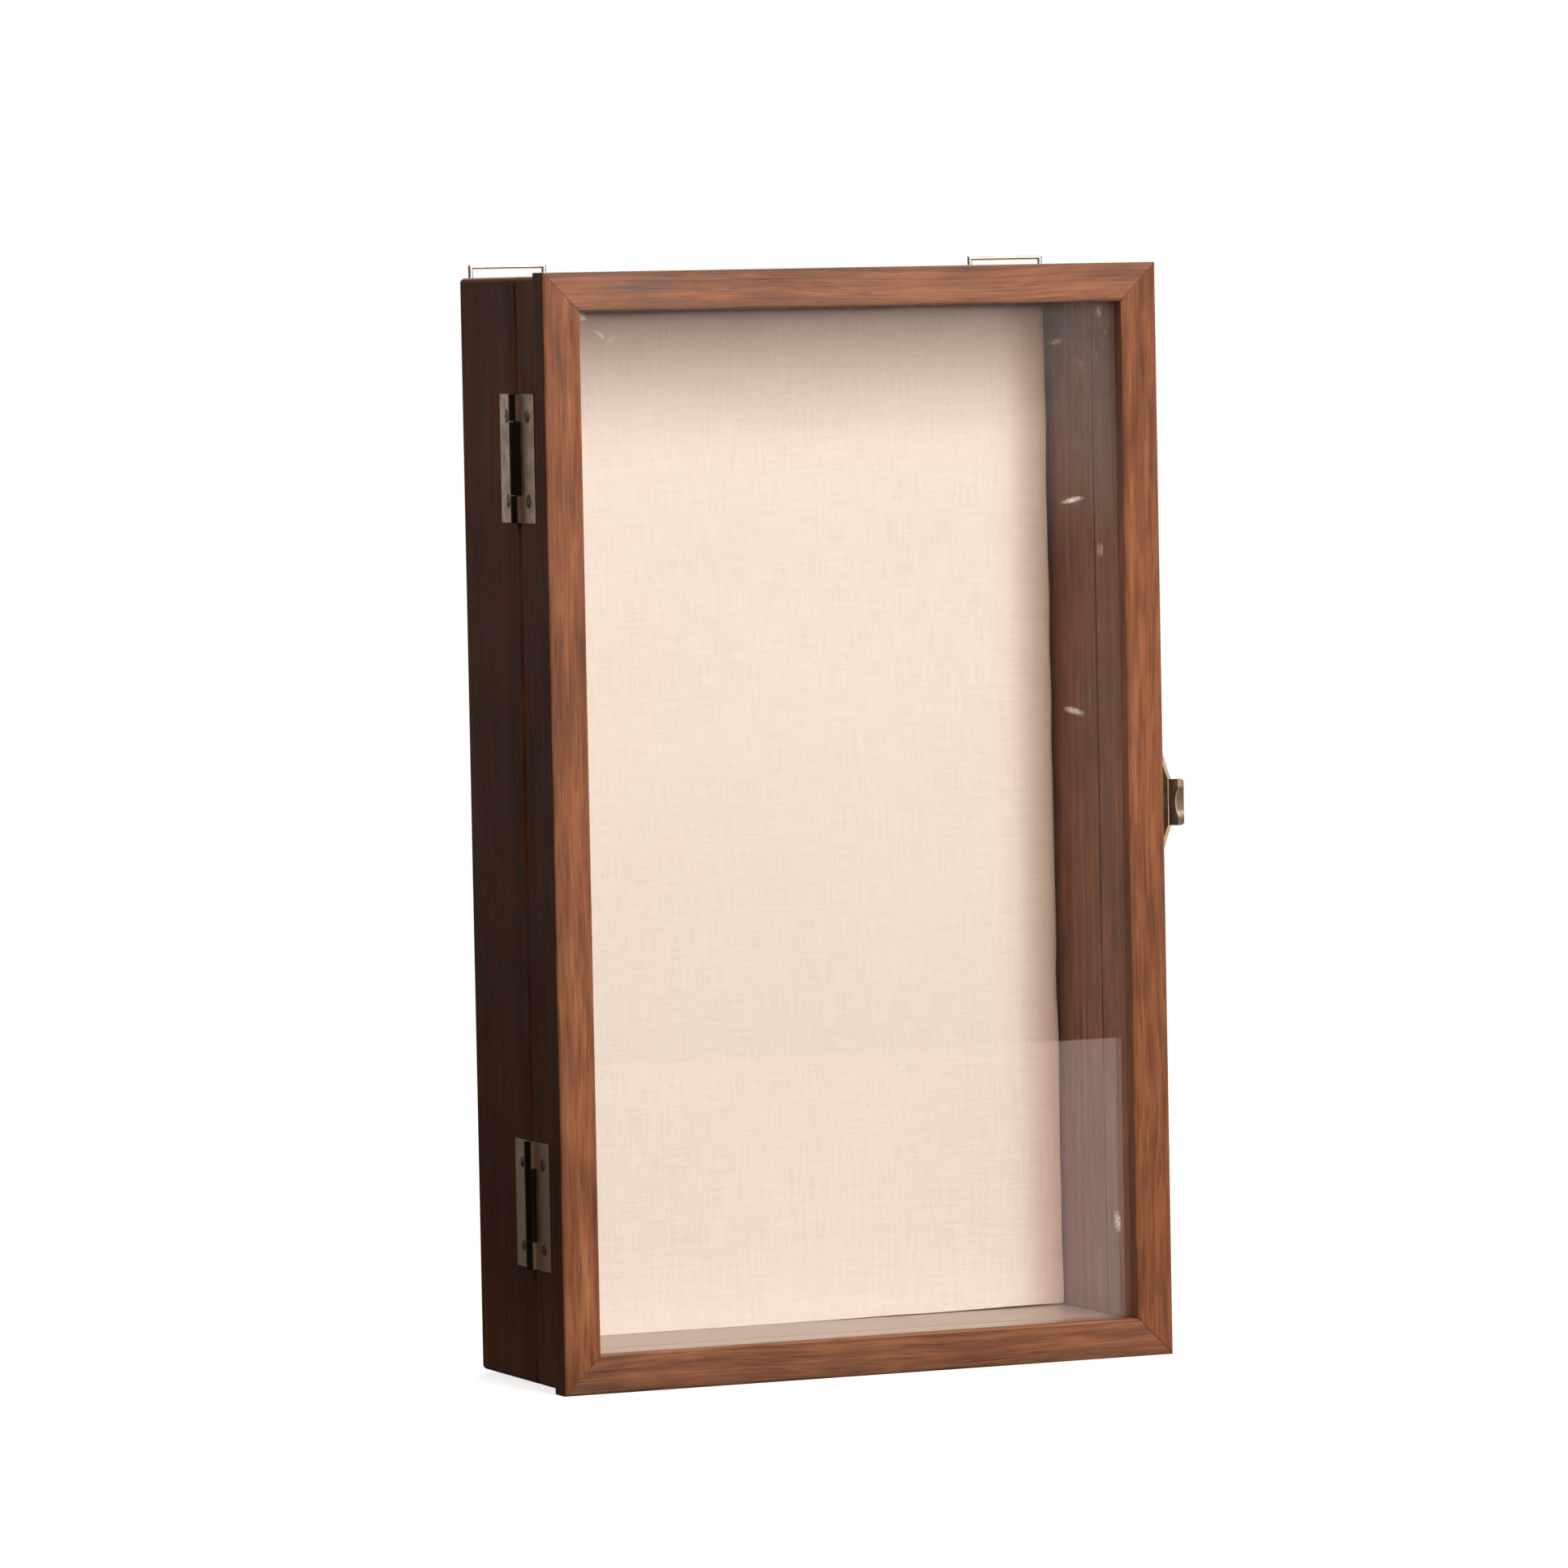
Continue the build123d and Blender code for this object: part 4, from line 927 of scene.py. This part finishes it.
# ---------------------------------------------------------------- the object
def dress_wood():
    """Wood on the case, the door and its face frame, and plywood on the back."""
    seeds = {node: number for number, node in enumerate(sorted(frame["nodes"]))}
    stile_low, stile_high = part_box("face_stile_left")
    face_box = stile_low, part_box("face_stile_right")[1]
    face_bar = stile_high.x - stile_low.x
    case_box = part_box("case_side_left")[0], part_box("case_side_right")[1]
    for part in ("rail_top", "rail_bottom", "stile_left", "stile_right"):
        grain = "X" if part.startswith("rail") else "Z"
        coat, dust = (FLOOR_COAT, PALE_FLOOR_SHARE) if part == "rail_bottom" else (WALL_COAT, 0.0)
        face, door = f"face_{part}", f"door_{part}"
        lift, shine = FACE_LIFTS[part], FACE_SHINE[grain]
        edges = (face_bar, OUTER_EDGE_SHADE, INNER_SHADES[part])
        give(face, wood(face, grain, FACE_TONES, seeds[face], face_box, lift, shine, edges=edges))
        # Painted light on the door's right stile.
        lift = CASE_PAINTED_LIGHT.get(part, 1.0)
        give(door, wood(door, grain, CASE_TONES, seeds[door], case_box, lift, coat=coat, dust=dust))
    for part in ("case_top", "case_bottom", "case_side_left", "case_side_right"):
        grain = "Z" if "side" in part else "X"
        coat, dust = (FLOOR_COAT, PALE_FLOOR_SHARE) if part == "case_bottom" else (WALL_COAT, 0.0)
        # Painted light on the case's right side.
        lift = CASE_PAINTED_LIGHT.get(part.removeprefix("case_"), 1.0)
        give(part, wood(part, grain, CASE_TONES, seeds[part], case_box, lift, coat=coat, dust=dust))
    give("back_panel", wood("back_panel", "Z", PLY_TONES, seeds["back_panel"]))


def dress_metal():
    """Finishes for the hinges, latch, hangers and brads. Returns the steel for the hangers' screws."""
    for end in ("upper", "lower"):
        leaf = metal(f"hinge_{end}_brass", *LIGHTENED_HINGE_BRASS, BRUSHED_UP, f"hinge_{end}_pin")
        for part in ("case_leaf", "door_leaf", "pin"):
            give(f"hinge_{end}_{part}", leaf)
    dark = metal("latch_brass", *DARKENED_LATCH_BRASS, arm="latch_arm")
    for part in ("latch_arm", "latch_base_plate", "latch_catch", "latch_pin"):
        give(part, dark)
    steel = metal("hanger_steel", *HANGER_STEEL)
    for side in ("left", "right"):
        give(f"hanger_ring_{side}", steel)
        give(f"hanger_strap_{side}", steel)
    give("back_panel_pins", steel)
    return steel


def fasteners(steel):
    """Slotted screws in place of the plain CAD ones."""
    brass = metal("screw_brass_worn", *SCREW_BRASS)
    left, right, rear = (0, -1), (0, 1), (1, 1)
    rows = (
        ("hinge_case_screws", "case", left, COUNTERSUNK, 0.0, brass, "screw_brass"),
        ("hinge_door_screws", "door", left, COUNTERSUNK, 0.0, brass, "screw_brass"),
        ("latch_base_screws", "case", right, RAISED, 0.9, brass, "screw_brass"),
        ("latch_catch_screws", "door", right, RAISED, 0.9, brass, "screw_brass"),
        ("hanger_screws", "case", rear, LARGE, 1.5, steel, "bright_steel"),
    )
    for node, body, (axis, way), sizes, head_t, material, slot in rows:
        mesh = slotted_head(*times(MM, sizes))
        seat = Matrix.Translation((0, 0, -head_t * MM))
        whole = copies(mesh, [place @ seat for place in head_places(node, axis, way, node)])
        screws = piece(f"{node}_slotted", whole, material, body)
        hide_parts(node)


camera()
studio()
softbox("key", KEY_AZIMUTH, KEY_ELEVATION, KEY_FAR, KEY_WIDE, KEY_TALL, KEY_LEVEL)
softbox("fill", FILL_AZIMUTH, FILL_ELEVATION, FILL_FAR, FILL_ACROSS, FILL_ACROSS, FILL_LEVEL, FILL_COLOUR)
sun("back", BACK_AZIMUTH, BACK_ELEVATION, BACK_SPREAD, BACK_LEVEL)
white_sheet()
dress_wood()
give("glass_pane", glass("clear_glass"))
fasteners(dress_metal())
pin_board(fabric("cream_cloth"))

bpy.context.scene.view_settings.view_transform = "Standard"
